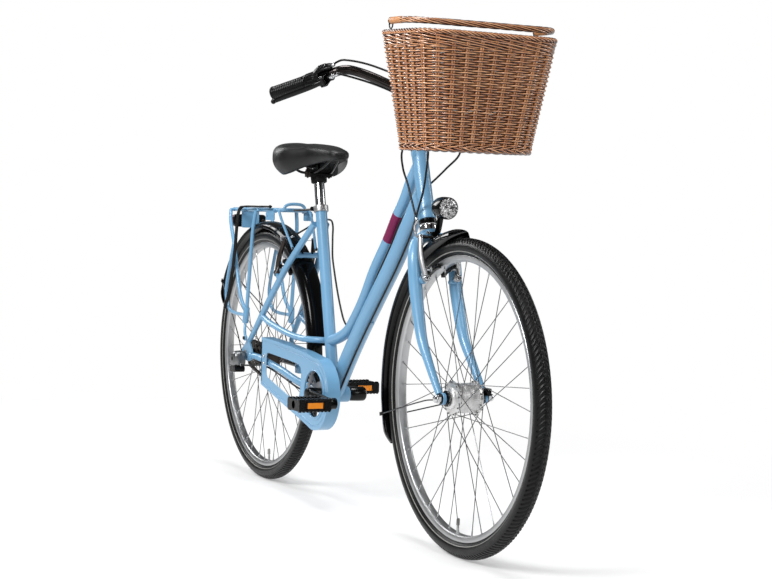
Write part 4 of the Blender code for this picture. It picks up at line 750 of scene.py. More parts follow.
def add_rim(word, axle_x, valve_degrees):
    half = [(311.2, 10.5), (311.7, 11.8), (311, 12.5), (304, 12.5), (303, 12), (302, 12), (299, 10.2),
            (297.8, 8.5), (297.3, 6)]
    shape = Shape().lathe(half + mirrored(half), mm(axle_x, 0, AXLE_Z), Y, 180)
    piece(word + "_rim_hoop", shape, word + "_rim_metal", word + "_wheel", word + "_rim", "bright_metal")
    angle = radians(valve_degrees)
    foot, inward = wheel_point(axle_x, RIM_INNER + 1, angle, 0), vec(-cos(angle), 0, -sin(angle))
    valve = Shape().lathe([(0, 0), (4.5, 0), (4.5, 3), (3.1, 3.4), (3.1, 19), (0, 19)], foot, inward, 20)
    valve.lathe([(0, 18.5), (4.1, 18.5), (4.1, 30), (3, 33.5), (0, 34)], foot, inward, 12, 1)
    piece(word + "_valve", valve, "alloy stripe", word + "_wheel")


def add_spokes(word, axle_x, flange_radius):
    shape, nipples = Shape(), Shape()
    for k in range(SPOKES):
        side = 1 if k % 2 == 0 else -1
        leading = 1 if (k // 2) % 2 == 0 else -1
        angle = 2 * pi * k / SPOKES
        hub = wheel_point(axle_x, flange_radius, angle + leading * radians(60),
                          side * (30.5 if leading > 0 else 25))
        rim = wheel_point(axle_x, RIM_INNER + 1, angle, side * 1.8)
        run = (rim - hub).normalized()
        through = Y * -side * leading
        bend = smooth([hub + through * 5.5, hub + through * 1.2, hub + run * 4, hub + run * 12], 3)
        shape.tube(bend + [rim - run * 6], 0.98, 7)
        shape.ball(hub + through * 5.8, 1.8, steps=8)
        nipples.lathe([(0, -13), (1.2, -13), (1.7, -11.5), (1.8, -1), (3, 0), (3, 1.2), (0, 1.2)], rim, run,
                      8)
        nipples.lathe([(0, -0.6), (3.6, -0.6), (4, 0.8), (0, 0.8)],
                      wheel_point(axle_x, RIM_INNER + 0.4, angle, side * 1.8), run, 12)
    piece(word + "_spoke_set", shape, "wire", word + "_wheel", word + "_spokes")
    piece(word + "_nipples", nipples, "alloy", word + "_wheel")


def add_wheels():
    for word, axle_x, valve, flange in (("front", WHEELBASE, -91.8, 35.5), ("rear", 0, -85, 31.2)):
        add_tyre(word, axle_x)
        add_rim(word, axle_x, valve)
        add_spokes(word, axle_x, flange)
    half = [(5.5, -45.5), (10, -45.5), (11.5, -38.5), (21.5, -36.5), (23.5, -34.5), (24.5, -29.8),
            (37, -29.2), (38.5, -28.6), (38.5, -26.8), (37, -26.2), (33, -25.5), (32.2, -23.5), (32.2, -8),
            (32.8, -7)]
    front = Shape().lathe(half[:2] + [(11, -44.5)] + half[2:] + mirrored(half), mm(WHEELBASE, 0, AXLE_Z), Y,
                          72)
    for k in range(12):
        foot = wheel_point(WHEELBASE, 16.5, pi * k / 6, -37.4)
        front.rod(foot, foot - Y * 1.2, 1.6, 10, 1)
    piece("front_hub_shell", front, "satin steel", "front_wheel", "front_hub")
    flange = [(26, -29.6), (33, -29.2), (34, -28.4), (34, -27), (33, -26.2), (29, -25.5), (28, -23.5)]
    rear = Shape().lathe([(5.5, -60.5), (10, -60.5), (10, -50), (16.5, -49.2), (17, -48.5), (17, -38),
                          (24, -36), *flange, *mirrored(flange), (22, 45), (12, 48), (10, 60.5),
                          (5.5, 60.5)], mm(0, 0, AXLE_Z), Y, 64)
    piece("rear_hub_shell", rear, "dark_steel", "rear_wheel", "rear_hub", "bright_metal")
    add_axles()


def add_axles():
    centre = mm(WHEELBASE, 0, AXLE_Z)
    axle = Shape().rod(centre - Y * 72, centre + Y * 70, 4.8, 20, edge=0.6)
    for side, _ in SIDES:
        out = Y * side
        axle.disc(centre + out * 55.7, out, 11.8, 1.8, 32, 1, 5)
        axle.nut(centre + out * 57.5, out, 10, 9, 3)
        axle.lathe([(0, 0), (8.4, 0), (8.2, 4), (6, 7), (0, 8.2)], centre + out * 66, out, 28, 3)
        axle.lathe([(5, 0), (16.8, 0), (17.5, 0.6), (17.5, 2.2), (12, 3), (10, 4.2), (5, 4.2)],
                   centre + out * 42.5, out, 40, 1)
    axle.box(centre + vec(4, 46, 6), centre + vec(24, 56, 22), 2)
    piece("front_axle_set", axle, "steel black_paint plastic chrome", "steering", "front_axle", bevel=0.5)
    centre = mm(0, 0, AXLE_Z)
    axle = Shape().rod(centre - Y * 76, centre + Y * 82, 4.8, 20, edge=0.6)
    for side, _ in SIDES:
        out = Y * side
        axle.disc(centre + out * 67.9, out, 11.5, 1.8, 32, 0, 5)
        axle.nut(centre + out * 69.5, out, 9, 7)
    piece("rear_axle_set", axle, "steel", "frame", "rear_axle", bevel=0.5)


# Drive: chain, gears, cranks, pedals and guard

BRACKET = (465, 285)
CHAIN_Y = -45
PEDAL_NEAR, PEDAL_FAR = 105, 190
PITCH = 12.7
LINKS = 102
RING_TEETH, SPROCKET_TEETH = 38, 18
RING_RADIUS = PITCH / (2 * sin(pi / RING_TEETH))
SPROCKET_RADIUS = PITCH / (2 * sin(pi / SPROCKET_TEETH))
# One tooth with its valley: the share of a tooth round the gear, and the reach beyond the chain's line.
TOOTH = ((0, -4.2), (0.14, -3.6), (0.27, -1), (0.40, 2.6), (0.46, 3.4), (0.54, 3.4), (0.60, 2.6),
         (0.73, -1), (0.86, -3.6))


def gear(x, z, teeth, radius, bore, holes):
    """A flat toothed wheel with round valleys."""
    outline = []
    for tooth in range(teeth):
        for share, reach in TOOTH:
            angle = 2 * pi * (tooth + share) / teeth
            outline.append((x + (radius + reach) * cos(angle), z + (radius + reach) * sin(angle)))
    return Shape().plate(outline, CHAIN_Y - 1, CHAIN_Y + 1, [arc(x, z, bore, 0, 350, 35)] + holes)


def chain_line(count):
    """The chain's joints, evenly spaced round the two gears."""
    small, large = Vector((0, AXLE_Z)), Vector(BRACKET)
    ahead = (large - small).normalized()
    above = Vector((-ahead.y, ahead.x))
    lean = (SPROCKET_RADIUS - RING_RADIUS) / (large - small).length
    upper = ahead * lean + above * sqrt(1 - lean * lean)
    lower = ahead * lean - above * sqrt(1 - lean * lean)
    top, low = degrees(atan2(upper.y, upper.x)), degrees(atan2(lower.y, lower.x))
    places = [(small + upper * SPROCKET_RADIUS).to_tuple()]
    places += arc(*BRACKET, RING_RADIUS, top, low, 90)
    places += arc(0, AXLE_Z, SPROCKET_RADIUS, low, top - 360, 60)[:-1]
    return even([mm(x, CHAIN_Y, z) for x, z in places], count)


def even(points, count):
    """Points evenly spaced along a closed line."""
    lengths = [0.0]
    for k, point in enumerate(points):
        lengths.append(lengths[-1] + (points[(k + 1) % len(points)] - point).length)
    result = []
    k = 0
    for step in range(count):
        wanted = lengths[-1] * step / count
        while lengths[k + 1] < wanted:
            k += 1
        share = (wanted - lengths[k]) / (lengths[k + 1] - lengths[k])
        result.append(points[k].lerp(points[(k + 1) % len(points)], share))
    return result


def add_chain():
    joints = chain_line(LINKS)
    plates, rollers = Shape(), Shape()
    for k, first in enumerate(joints):
        second = joints[(k + 1) % len(joints)]
        along = (second - first).normalized()
        up = along.cross(Y)
        middle = first.lerp(second, 0.5)
        half = []
        for centre, angles, waist in ((first, (200, 170, 140, 110), 2.7),
                                      (second, (70, 40, 10, -20, -50, -80), -2.7), (first, (-100, -130), 0)):
            half += [centre + turn(along, up, radians(a)) * 4.1 for a in angles]
            if waist:
                half.append(middle + up * waist)
        near = 2.5 if k % 2 else 1.5
        for side, _ in SIDES:
            plates.slab([p + Y * side * near for p in half], Y * side * 0.9)
        rollers.rod(first - Y * 1.3, first + Y * 1.3, 3.8, 12)
        rollers.rod(first - Y * 3.8, first + Y * 3.8, 1.8, 8)
    piece("chain_plates", plates, "dark_steel", "frame", "chain")
    piece("chain_rollers", rollers, "dark_steel", "frame")


def add_drive():
    add_chain()
    windows = [arc(26.5 * cos(pi * k / 3), AXLE_Z + 26.5 * sin(pi * k / 3), 3, 0, 330, 11) for k in range(6)]
    small = gear(0, AXLE_Z, SPROCKET_TEETH, SPROCKET_RADIUS, 18.2, windows)
    piece("sprocket_disc", small, "dark_steel", "sprocket", "rear_sprocket", bevel=0.2)

    x, z = BRACKET
    windows = [arc(x, z, 63, first + 12, first + 60, 10) + arc(x, z, 33, first + 58, first + 14, 8)
               for first in range(0, 360, 72)]
    ring = gear(x, z, RING_TEETH, RING_RADIUS, 18, windows)
    for (bolt_x, bolt_z) in arc(x, z, 48, 0, 288, 4):
        ring.bolt(mm(bolt_x, CHAIN_Y - 1, bolt_z), -Y, 5, 2.2, 1, 2)
    piece("chainring_disc", ring, "steel chrome hollow", "crank", "chainring", bevel=0.2)

    centre = mm(x, 0, z)
    for side, word in SIDES:
        path = curve([(x - side * ahead, side * y, z - drop) for ahead, y, drop in (
            (0, 72.5, 0), (60, 76, 0), (140, 84, 1), (175, 85, 2))], 6)
        arm = Shape().tube(path, spread([(7.5, 15), (7, 12.5), (6.5, 11), (7, 12.5)], 6), 28, across=Y)
        out = Y * side
        arm.lathe([(0, 36), (15, 36), (17.5, 40), (18.5, 64), (18.5, 76), (17, 79), (12.5, 80), (0, 80)],
                  centre, out, 44)
        arm.lathe([(0, 79.5), (15, 79.5), (15, 81.2), (12, 82.2), (0, 82.2)], centre, out, 32,
                  1 if side < 0 else 2)
        eye = moved(path[-1], 0)
        arm.lathe([(0, 78.5), (12.5, 78), (14, 79.5), (14, 90.5), (12.5, 92), (0, 92)], eye, out, 36)
        arm.lathe([(0, 75.5), (6, 75.5), (10.5, 76.8), (10.5, 78.5), (0, 78.5)], eye, out, 24, 2)
        arm.rod(eye + out * 86, eye + out * (PEDAL_FAR - 8), 5.3, 20, 2, edge=0.6)
        arm.nut(eye + out * 92.2, out, 8.6, 4.5, 2)
        if side < 0:
            arm.rod(centre - Y * 40, centre + Y * 62, 8.3, 24, 2)
        piece("crank_arm_" + word, arm, "black_paint plastic alloy", "crank", "crank_" + word, bevel=0.6)
        add_pedal(side, word, eye)
    add_guard()
    add_shift_box()


def add_pedal(side, word, eye):
    """A flat pedal: core, end walls, two rails with grip knobs, and a short reflector in each."""
    out = Y * side
    body, grips, lights = Shape(), Shape(), Shape()
    x, z, near, far = eye.x, 283, PEDAL_NEAR, PEDAL_FAR
    body.lathe([(5.8, near), (10.5, near), (11.5, near + 1.5), (11.5, far - 4), (10, far - 0.5),
                (0, far - 0.5), (0, far - 5.5), (5.8, far - 5.5)], vec(x, 0, z), out, 32)
    wall = rounded([(-37, -10.5), (-34, -13.5), (34, -13.5), (37, -10.5), (37, 10.5), (34, 13.5),
                    (-34, 13.5), (-37, 10.5)], 3)
    for first in (near + 0.5, far - 8.5):
        body.slab([vec(x + a, 0, z + b) + out * first for a, b in wall], out * 8)
    middle = side * (near + far) / 2
    for face in (-1, 1):
        edge = x + face * 30
        body.brick(vec(edge - 0.4, middle, z), Y, Z, (41.5, 13, 6.8))
        place = vec(x + face * 36.4, middle, z)
        lights.brick(place, Y, Z, (20, 7, 1))
        for rib in (-1, 1):
            body.brick(place + Z * rib * 9.5, Y, Z, (40, 2.2, 1.1))
            body.brick(place + Y * rib * 23, Y, Z, (2.8, 9.5, 1.1))
        for up in (-1, 1):
            for k in range(9):
                grips.brick(vec(edge, side * (near + 4.5 + 9.5 * k), z + up * 13.9), X, Y, (6, 2.3, 2.2))
    for up in (-1, 1):
        for k in range(7):
            grips.brick(vec(x, side * (near + 13.5 + 9.8 * k), z + up * 11.8), X, Y, (7, 2.4, 1.6))
    node = "pedal_" + word
    piece("pedal_frame_" + word, body, "plastic", node, node, bevel=0.8)
    piece("pedal_grips_" + word, grips, "rubber", node, bevel=0.6)
    piece("pedal_reflectors_" + word, lights, "orange", node, bevel=0.4)


def guard_arc(radius, start=0, end=355, count=71):
    return arc(470, 287.5, radius, start, end, count)


def guard_edge(inset):
    """The chain guard's rim seen from the side, moved inwards."""
    top = [(109, 404 - inset), (200, 401 - inset), (300, 395 - inset), (400, 387 - inset)]
    return top + guard_arc(91.5 - inset, 92, -112, 60) + [(310, 231 + inset * 1.1), (109, 276 + inset * 1.1)]


def add_guard():
    slot_shape = rounded([(142, 300.5), (142, 367), (300, 359), (366, 354.5), (380, 348), (386, 336),
                          (383, 305), (376, 272), (366, 262.5), (310, 262.5)], 16, 6)
    window, outer = guard_arc(58), guard_edge(0)
    shape = Shape()
    shape.plate(outer, -62.2, -60.4, [slot_shape, window])
    shape.plate(outer, -63.6, -62, [guard_edge(8.5)])
    shape.plate(guard_arc(67), -63.6, -62, [window])
    shape.plate(outer + guard_edge(1.8)[::-1], -60.6, -30)
    shape.tube([mm(x, -62.1, z) for x, z in guard_edge(12.5)[1:-1]], 1.2, 8)
    shape.tube([mm(x, -63.6, z) for x, z in guard_arc(60)], 1.6, 10, closed=True)
    shape.tube([mm(x, -61.6, z) for x, z in slot_shape], 1.1, 8, closed=True)
    for x, z in ((127, 354), (128, 335)):
        shape.disc(mm(x, -62.2, z), -Y, 5.2, 0.9, 24, 1)
        shape.bolt(mm(x, -63, z), -Y, 3.6, 2.8, 1, 2)
    shape.box(mm(120, -60, 330), mm(134, -53.5, 348))
    piece("chain_guard_shell", shape, "paint chrome hollow", "frame", "chain_guard", bevel=0.5)


def crown_ring(size, y):
    """The shift box's outline, with soft corners, at one size."""
    ring = []
    for k in range(48):
        cos_a, sin_a = cos(pi * k / 24), sin(pi * k / 24)
        ring.append(mm(copysign(20.8 * abs(cos_a) ** 0.72, cos_a) * size, y,
                       335.5 + copysign(22.8 * abs(sin_a) ** 0.72, sin_a) * size))
    return ring


def add_shift_box():
    """The gear box on the axle's right end: a dark foot under a rounded metal cap."""
    foot = [(-20.5, 300.5), (16, 300.5), (20, 306), (20, 316), (-20.5, 316)]
    base = Shape().plate(rounded(foot, 6), -105.5, -76)
    cap = Shape().skin([crown_ring(size, y) for y, size in (
        (-74, 0.90), (-75.2, 0.97), (-78, 1), (-90, 1), (-96, 0.975), (-101, 0.91), (-104.2, 0.80),
        (-106.2, 0.62), (-107, 0.40))])
    for y in (-80, -84):
        cap.tube(crown_ring(1.01, y), 0.6, 8, closed=True)
    cap.disc(mm(0, -106.9, 337), -Y, 6, 0.6, 28, 1, top=5.6)
    piece("shift_box_base", base, "plastic", "frame", "shift_box", bevel=1.2)
    piece("shift_box_cap", cap, "cap_metal hollow", "frame", bevel=0.5)


# Fork, headset and brakes

def add_fork():
    paint, chrome, black = 0, 1, 2
    rings = [(0, 690, paint), (17.2, 690, paint), (19, 692.5, paint), (20, 707.5, paint),
             (20.6, 708.5, chrome), (20.6, 720, chrome), (19.6, 721.5, chrome), (20.5, 723, black),
             (20.5, 733, black), (12.7, 734, black), (12.7, 890.5, paint), (19.2, 890.8, chrome),
             (19.6, 893, chrome), (19.6, 898.5, chrome), (18.2, 899.5, black), (19, 901, black),
             (19, 908.5, black), (18, 910, black), (12.7, 910.1, paint), (12.7, 925, paint), (0, 925, paint)]
    steerer = Shape().lathe([(r, steer_along(z)) for r, z, _ in rings], HEAD, STEER, 56,
                            [slot for _, _, slot in rings])
    for angle in (35, -35):
        out = turn(AHEAD.normalized(), Y, radians(angle))
        steerer.bolt(on_steering(700.5) + out * 18.5, out, 4.2, 4, 1, 3)
    blades = [(961, 0, 697, 14), (964, 20, 693, 14.2), (972, 39, 677, 14.8), (986, 50, 644, 15),
              (999, 51, 580, 15), (1022, 52, 510, 13.5), (1042, 53, 466, 12), (1075, 54, 424, 10),
              (1110, 54.5, 383, 8.8), (1133, 54.5, 357, 7.8)]
    both = mirrored(blades) + blades[1:]
    radii = [size[0] for size in spread([place[3:] for place in both], 7)]
    legs = Shape().tube(curve([place[:3] for place in both], 7), radii, 32, across=X)
    for side, _ in SIDES:
        legs.lathe(collar(5.2, 13, *span(side, 47, 55.5), 1), mm(WHEELBASE, 0, AXLE_Z), Y, 40)
        root, ahead = front_boss(side)
        legs.rod(root - ahead * 7.2, root + ahead * 24, 6, 20, edge=0.6)
        legs.lathe([(9.5, -1), (9.5, 1), (6, 2.6), (6, -1)], root + ahead * 13.92, ahead, 28)
    piece("fork_steerer", steerer, "paint chrome black_paint hollow", "steering", bevel=0.3)
    piece("fork_blades", legs, "paint", "steering", "fork", bevel=0.3)


def add_brake(place, side, word, root, out, up):
    """One brake arm with its pivot bolt, pad and holder."""
    middle = root + out * 29
    top = moved(middle + up * 100, side * 41.5)
    knee = moved(middle + up * 45, side * (abs(middle.y) * 0.40 + 41.5 * 0.60 + 4.5))
    sizes = spread([(6, 8.6), (6.6, 8), (5, 5.8)], 8)
    arm = Shape().tube(smooth([middle, knee, top], 8), sizes, 20, across=Y)
    arm.lathe([(6.2, 24.3), (8.5, 24.3), (8.8, 25), (8.8, 32.2), (8.2, 33), (6.2, 33)], root, out, 32)
    arm.bolt(root + out * 32.8, out, 6.8, 5, 1, 2)
    pad = moved(root + out * 29 + up * 21, side * 18.8)
    arm.rod(pad, moved(pad, side * 48), 3, 14, 1)
    for y, radius, thick in ((24, 6.2, 3), (38, 6.8, 2.8), (41, 7, 1.6)):
        arm.disc(moved(pad, side * y), Y * side, radius, thick, top=radius * 0.9)
    arm.nut(moved(pad, side * 42.8), Y * side, 5.6, 4.2, 1)
    arm.bolt(top - up * 4 + out * 3.4, out, 4.2, 3.6, 1, 2)
    spring = [root + out * 22.5 + Y * side * 8.5, middle - out * 8 + up * 30 + Y * side * 1.5,
              middle - out * 7 + up * 62 - Y * side * 3]
    arm.tube(smooth(spring, 5), 0.8, 8, 1)
    name = place + "_brake_arm_" + word
    metal = "alloy" if place == "front" else "dark_steel"
    piece(name + "_lever", arm, metal + " chrome hollow", name, name, "bright_metal", 0.5)

    shoe = Shape()
    radial = (moved(pad, 0) - mm(WHEELBASE if place == "front" else 0, 0, AXLE_Z)).normalized()
    along = radial.cross(Y)
    for k in range(-4, 5):
        centre = pad + along * 6.6 * k - radial * 0.2 * k * k
        shoe.brick(centre, along, radial, (3.1 if k % 2 == 0 else 2.6, 5.4, 4.5))
        shoe.brick(centre, along, radial, (3.6, 4.6, 3.8))
    piece(name + "_pad", shoe, "rubber", name, bevel=0.5)


def add_brakes():
    rear_up = vec(0.36, 0, 0.933).normalized()
    for side, word in SIDES:
        add_brake("front", side, word, *front_boss(side), STEER)
        add_brake("rear", side, word, *rear_boss(side), rear_up)
    add_brake_pipe("front", *front_boss(-1), STEER, [(972, -39, 730), (980, -48, 718)])
    add_brake_pipe("rear", *rear_boss(-1), rear_up, [(215, -28, 678), (212, -40, 680)])


def add_brake_pipe(place, root, out, up, start):
    """The bent pipe that leads the cable into one arm, and the bare wire across to the other."""
    top = moved(root + out * 29 + up * 96, -41.5)
    bend = route(start) + [top + up * 10 - Y * 11, top - Y * 8.5, top + Y * 6]
    shape = Shape().tube(smooth(bend, 7), 2.4, 16)
    shape.rod(top - Y * 3, top + Y * 6, 3.6, 16, edge=0.6)
    shape.tube([top, moved(top, 44)], 0.8, 8)
    profile = [(0.8, 0)]
    for k in range(10):
        profile += [(4.8 - 0.2 * k, 1 + 2.8 * k), (3.4 - 0.15 * k, 2.4 + 2.8 * k)]
    shape.lathe(profile + [(0.8, 30)], top + Y * 6, Y, 20, 1)
    piece(place + "_brake_pipe", shape, "steel rubber", place + "_brake_arm_right", slot="bright_metal")


# Handlebar and what is on it

# The left half of the bar, from the stem to its end.
BAR_HALF = [(905, 35, 1022), (898, 80, 1038), (882, 110, 1052), (865, 140, 1064), (859, 170, 1069),
            (849, 195, 1063), (712, 285, 1018)]


def grip_frame(side):
    """Start of a bar end, its outward, lever, hinge and upward directions."""
    start, end = mm(849, side * 195, 1063), mm(712, side * 285, 1018)
    out = (end - start).normalized()
    lever = vec(0.570, side * 0.586, -0.576)
    lever = (lever - out * lever.dot(out)).normalized()
    hinge = out.cross(lever)
    return start, out, lever, hinge, hinge if hinge.z > 0 else -hinge


def add_handlebar():
    bar = Shape().tube(curve(mirrored(BAR_HALF) + [(905, 0, 1020)] + BAR_HALF, 9), 11, 36, across=X)
    piece("handlebar_tube", bar, "bar_metal", "steering", "handlebar")
    stem = Shape().lathe([(0, -2), (12.7, -2), (12.7, 78), (12.4, 80), (0, 80)], on_steering(925.5), STEER,
                         40)
    neck = curve([(859.5, 0, 996), (864, 0, 1005), (878, 0, 1013), (896, 0, 1019)], 6)
    stem.tube(neck, spread([(12.8, 12.8), (13, 12.6), (12.8, 11), (14, 12)], 6), 32, across=Y)
    middle = mm(905, 0, 1020)
    stem.lathe(collar(11.4, 18, -18, 18, 0.8), middle, Y, 48)
    for side, _ in SIDES:
        stem.bolt(middle + vec(6, side * 11, -17), -Z, 4.2, 5, 1, 2)
    stem.bolt(on_steering(1004.5) + STEER, STEER, 6.8, 6, 1, 2)
    piece("stem_body", stem, "bar_metal chrome hollow", "steering", "stem", bevel=0.6)
    add_basket_holder()
    for side, word in SIDES:
        add_bar_end(side, word)


def wall_place(behind, y, z):
    """A point on the basket's sloping rear wall or at a distance behind it."""
    return mm(1017 + (TOP - z) * 0.0808 - behind - 0.8, y, z)


def add_basket_holder():
    outline, window = [[wall_place(0.6, y, z) for y, z in rectangle(*sizes)]
                       for sizes in ((-60, 990, 60, 1090, 14), (-34, 1058, 34, 1078, 8))]
    shape = Shape().slab(outline, X * -6, [window])
    for side in (-1, 1):
        arm = curve([(908.5, side * 45, 1026), (950, side * 45, 1040), (1020, side * 45, 1045)], 8)
        shape.tube(arm, 5.5, 20, across=Y)
        near, far = mm(904.5, side * 40, 1023.5), mm(903.5, side * 52, 1026.5)
        shape.lathe(collar(11.3, 16.5, 0, 12.2, 0.7, 1), near, far - near, 36)
        shape.bolt(near.lerp(far, 0.5) + vec(-15, 0, 4), vec(-1, 0, 0.25), 4, 4.5, 1, 2)
    for z in (1000, 1080):
        for y in (-50, 50):
            shape.bolt(wall_place(6.2, y, z), -X, 4, 3, 1, 2)
    piece("basket_holder_plate", shape, "plastic steel hollow", "steering", "basket_holder", bevel=0.8)


def add_bar_end(side, word):
    start, out, lever, hinge, upward = grip_frame(side)
    first, count, collar_end = (79, 16, 34) if side < 0 else (40, 22, 36.5)
    far = 170
    profile = [(11.2, first), (16, first), (16.6, first + 1.2), (16.6, first + 3.5), (15.6, first + 4.5)]
    pitch = (far - 10 - first) / count
    for k in range(count):
        spot = first + 6 + pitch * k
        profile += [(15.7, spot), (16.2, spot + pitch * 0.3), (15.7, spot + pitch * 0.6)]
    profile += [(15.8, far - 3), (16.4, far - 1), (16.6, far + 2), (15.8, far + 4.5), (13, far + 5.5),
                (0, far + 5.5), (0, far - 2), (11.2, far - 2)]
    grip = Shape().lathe(profile, start, out, 56)
    piece("grip_" + word + "_rubber", grip, "rubber", "steering", "grip_" + word)

    holder = Shape().lathe(collar(11.2, 16, 10, collar_end, 1, 1.2), start, out, 48)
    middle = start + out * 22
    for edge in (-1, 1):
        holder.brick(middle + lever * 24.5 + hinge * edge * 9.5, out, lever, (8.5, 11, 1.8))
        holder.bolt(middle + lever * 30.5 + hinge * edge * 11.2, hinge * edge, 3.6, 1.8, 1, 2)
    holder.brick(middle + lever * 17.5, out, lever, (10, 5, 10.5))
    holder.lathe([(0, -4), (5, -4), (5, 4), (3.8, 5), (3.8, 8), (5.6, 8.5), (5.6, 14), (4, 15), (4, 18.5),
                  (0, 18.5)], middle + lever * 18 - out * 9, -out, 28, [0] * 3 + [1] * 6 + [0])
    holder.bolt(middle - lever * 15, -lever, 4, 4, 1, 2)
    piece("brake_bracket_body_" + word, holder, "black_paint chrome hollow", "steering",
          "brake_bracket_" + word, bevel=0.8)
    if side < 0:
        add_shifter(start, out, upward)

    pin = middle + lever * 30.5
    path = [start + out * a + lever * b for a, b in ((45, 37), (80, 40), (120, 42), (150, 45))]
    sizes = spread([(5.8, 5), (6, 4), (6.2, 3.6), (6, 3.6), (5.2, 4)], 8)
    blade = Shape().tube(smooth([pin + out * 2] + path, 8), sizes, 24, across=hinge)
    blade.ball(start + out * 155 + lever * 45.5, 6.1, steps=24)
    blade.disc(pin - hinge * 7.5, hinge, 5.5, 15)
    name = "brake_lever_" + word
    piece("brake_lever_blade_" + word, blade, "black_paint", name, name, bevel=0.4)


def add_shifter(start, out, upward):
    """The twist grip with its raised ribs, and the fixed housing with the gear window."""
    across = out.cross(upward)
    rings = []
    for along, reach, rib in ((48.2, 11.3, 0), (48.2, 16.5, 0), (49.2, 17.2, 0), (52, 17.2, 1), (56, 17, 1),
                              (74, 16.8, 1), (76.2, 17, 0), (77.8, 16.5, 0), (77.8, 11.3, 0)):
        rings.append([start + out * along + turn(upward, across, 2 * pi * k / 96)
                      * (reach + (rib if k % 6 < 3 else 0)) for k in range(96)])
    twist = Shape().skin(rings, closed=True)
    piece("twist_shifter_grip", twist, "rubber", "twist_shifter", "twist_shifter")

    house = Shape().lathe([(11.3, 35), (19, 35), (20.5, 36.2), (20.5, 46.2), (19.6, 47), (11.3, 47)],
                          start, out, 56)
    cover = [start + out * a + upward * b
             for a, b in ((-2, 16.5), (8, 18), (22, 18.8), (36, 17.5), (46.5, 15))]
    sizes = spread([(9, 4), (12.5, 6), (14, 6.8), (14.5, 7), (13, 5.5)], 5)
    house.tube(smooth(cover, 5), sizes, 24, across=across)
    house.brick(start + out * 23.5 + upward * 25.4, out, across, (10.5, 6, 0.7), 1)
    house.lathe([(0, 0), (4, 0), (4, 8), (3.2, 10), (0, 10)], start + out + upward * 17.5, -out, 20, 2)
    piece("shifter_housing", house, "plastic clear chrome", "steering", bevel=0.7)


# Basket

STAKES = 30
ROWS = 40
ROW_PITCH = 5.2
PER_STAKE = 8  # points of an outline from one stake to the next
REAR_TURN, FRONT_TURN = 40, 70  # radii of the corners at the bottom
BOTTOM, TOP = 885, 1145


def basket_outline(z, count=STAKES * PER_STAKE, grow=-4.6):
    """Evenly spaced points round the basket, which hangs lower in front, at one height behind."""
    share = (z - BOTTOM) / (TOP - BOTTOM)
    rear = 1038 - 21 * share - grow
    front = 1217 + 33 * share + grow
    half = 135 + 40 * share + grow
    back_turn, front_turn = REAR_TURN + grow, FRONT_TURN + grow
    places = []
    for first, x, side, radius in ((0, front - front_turn, 1, front_turn),
                                   (90, rear + back_turn, 1, back_turn),
                                   (180, rear + back_turn, -1, back_turn),
                                   (270, front - front_turn, -1, front_turn)):
        for ahead, y in arc(x, side * (half - radius), radius, first, first + 90, 12):
            places.append(mm(ahead, y, z - (6 + 8 * share) * (ahead - rear) / (front - rear)))
    return even(places, count)


def outward(points, k):
    """The level outward direction at a point of a closed outline."""
    along = points[(k + 1) % len(points)] - points[k - 1]
    return vec(along.y, -along.x, 0).normalized()


def add_basket():
    """Strands woven in and out of pairs of stakes, with twisted bands above and below."""
    chance = random.Random(7)
    weave, stakes, bands = Shape(), Shape(), Shape()
    for row in range(ROWS):
        ring = basket_outline(904 + ROW_PITCH * row)
        line = []
        thick = 2.4 + 0.35 * chance.random()
        drift = [chance.uniform(-0.5, 0.5) for _ in range(STAKES)]
        for k, point in enumerate(ring):
            stray = drift[k // PER_STAKE]
            swing = cos(pi * (k / PER_STAKE + row)) * (3.8 + stray * 0.6)
            line.append(point + outward(ring, k) * swing + Z * stray * sin(pi * (k % PER_STAKE) / PER_STAKE))
        weave.tube(line, (2.68, thick), 8, closed=True, across=Z)
    piece("basket_weave", weave, "willow", "steering", "basket", sharp=60)

    levels = [basket_outline(889 + 243 * step / 8) for step in range(9)]
    for k in range(0, STAKES * PER_STAKE, PER_STAKE):
        for shift in (-2.4, 2.4):
            stakes.tube([ring[k] + (ring[k + 1] - ring[k]).normalized() * shift + outward(ring, k) * 1.2
                         for ring in levels], 2.1, 8)
    for x in range(1, 34):
        half = basket_floor_half(1046 + 5 * x)
        stakes.tube([mm(1046 + 5 * x, -half + 2 * half * step / 28, 892.5 + 1.8 * cos(pi * (step / 4 + x)))
                     for step in range(29)], 2.2, 8)
    for y in range(-108, 109, 36):
        stakes.tube([mm(1040, y, 892.5), mm(1212, y, 892.5)], 2.2, 8)
    piece("basket_stakes", stakes, "willow", "steering", sharp=60)

    for z, reach, thick, turns, strands in ((891, 3.6, 2.8, 12, 3), (898, 3.4, 2.4, -9, 3),
                                            (1113, 3.2, 2.4, 8, 3), (1120.5, 3.4, 2.5, 7, 3),
                                            (1128.5, 3.6, 2.6, 8, 3), (1138.5, 3.6, 2.7, 21, 4)):
        bands.rope(basket_outline(z, 420), strands, thick, reach, turns, 8, closed=True)
    piece("basket_bands", bands, "willow", "steering", sharp=60)
    add_basket_handle()


def basket_floor_half(depth):
    """Half the floor's width at a distance ahead of the rear axle."""
    radius = REAR_TURN if depth < 1078 else FRONT_TURN
    inside = max(0, 1078 - depth, depth - 1147)
    return 130 - radius + sqrt(max(0.0, radius ** 2 - inside ** 2))


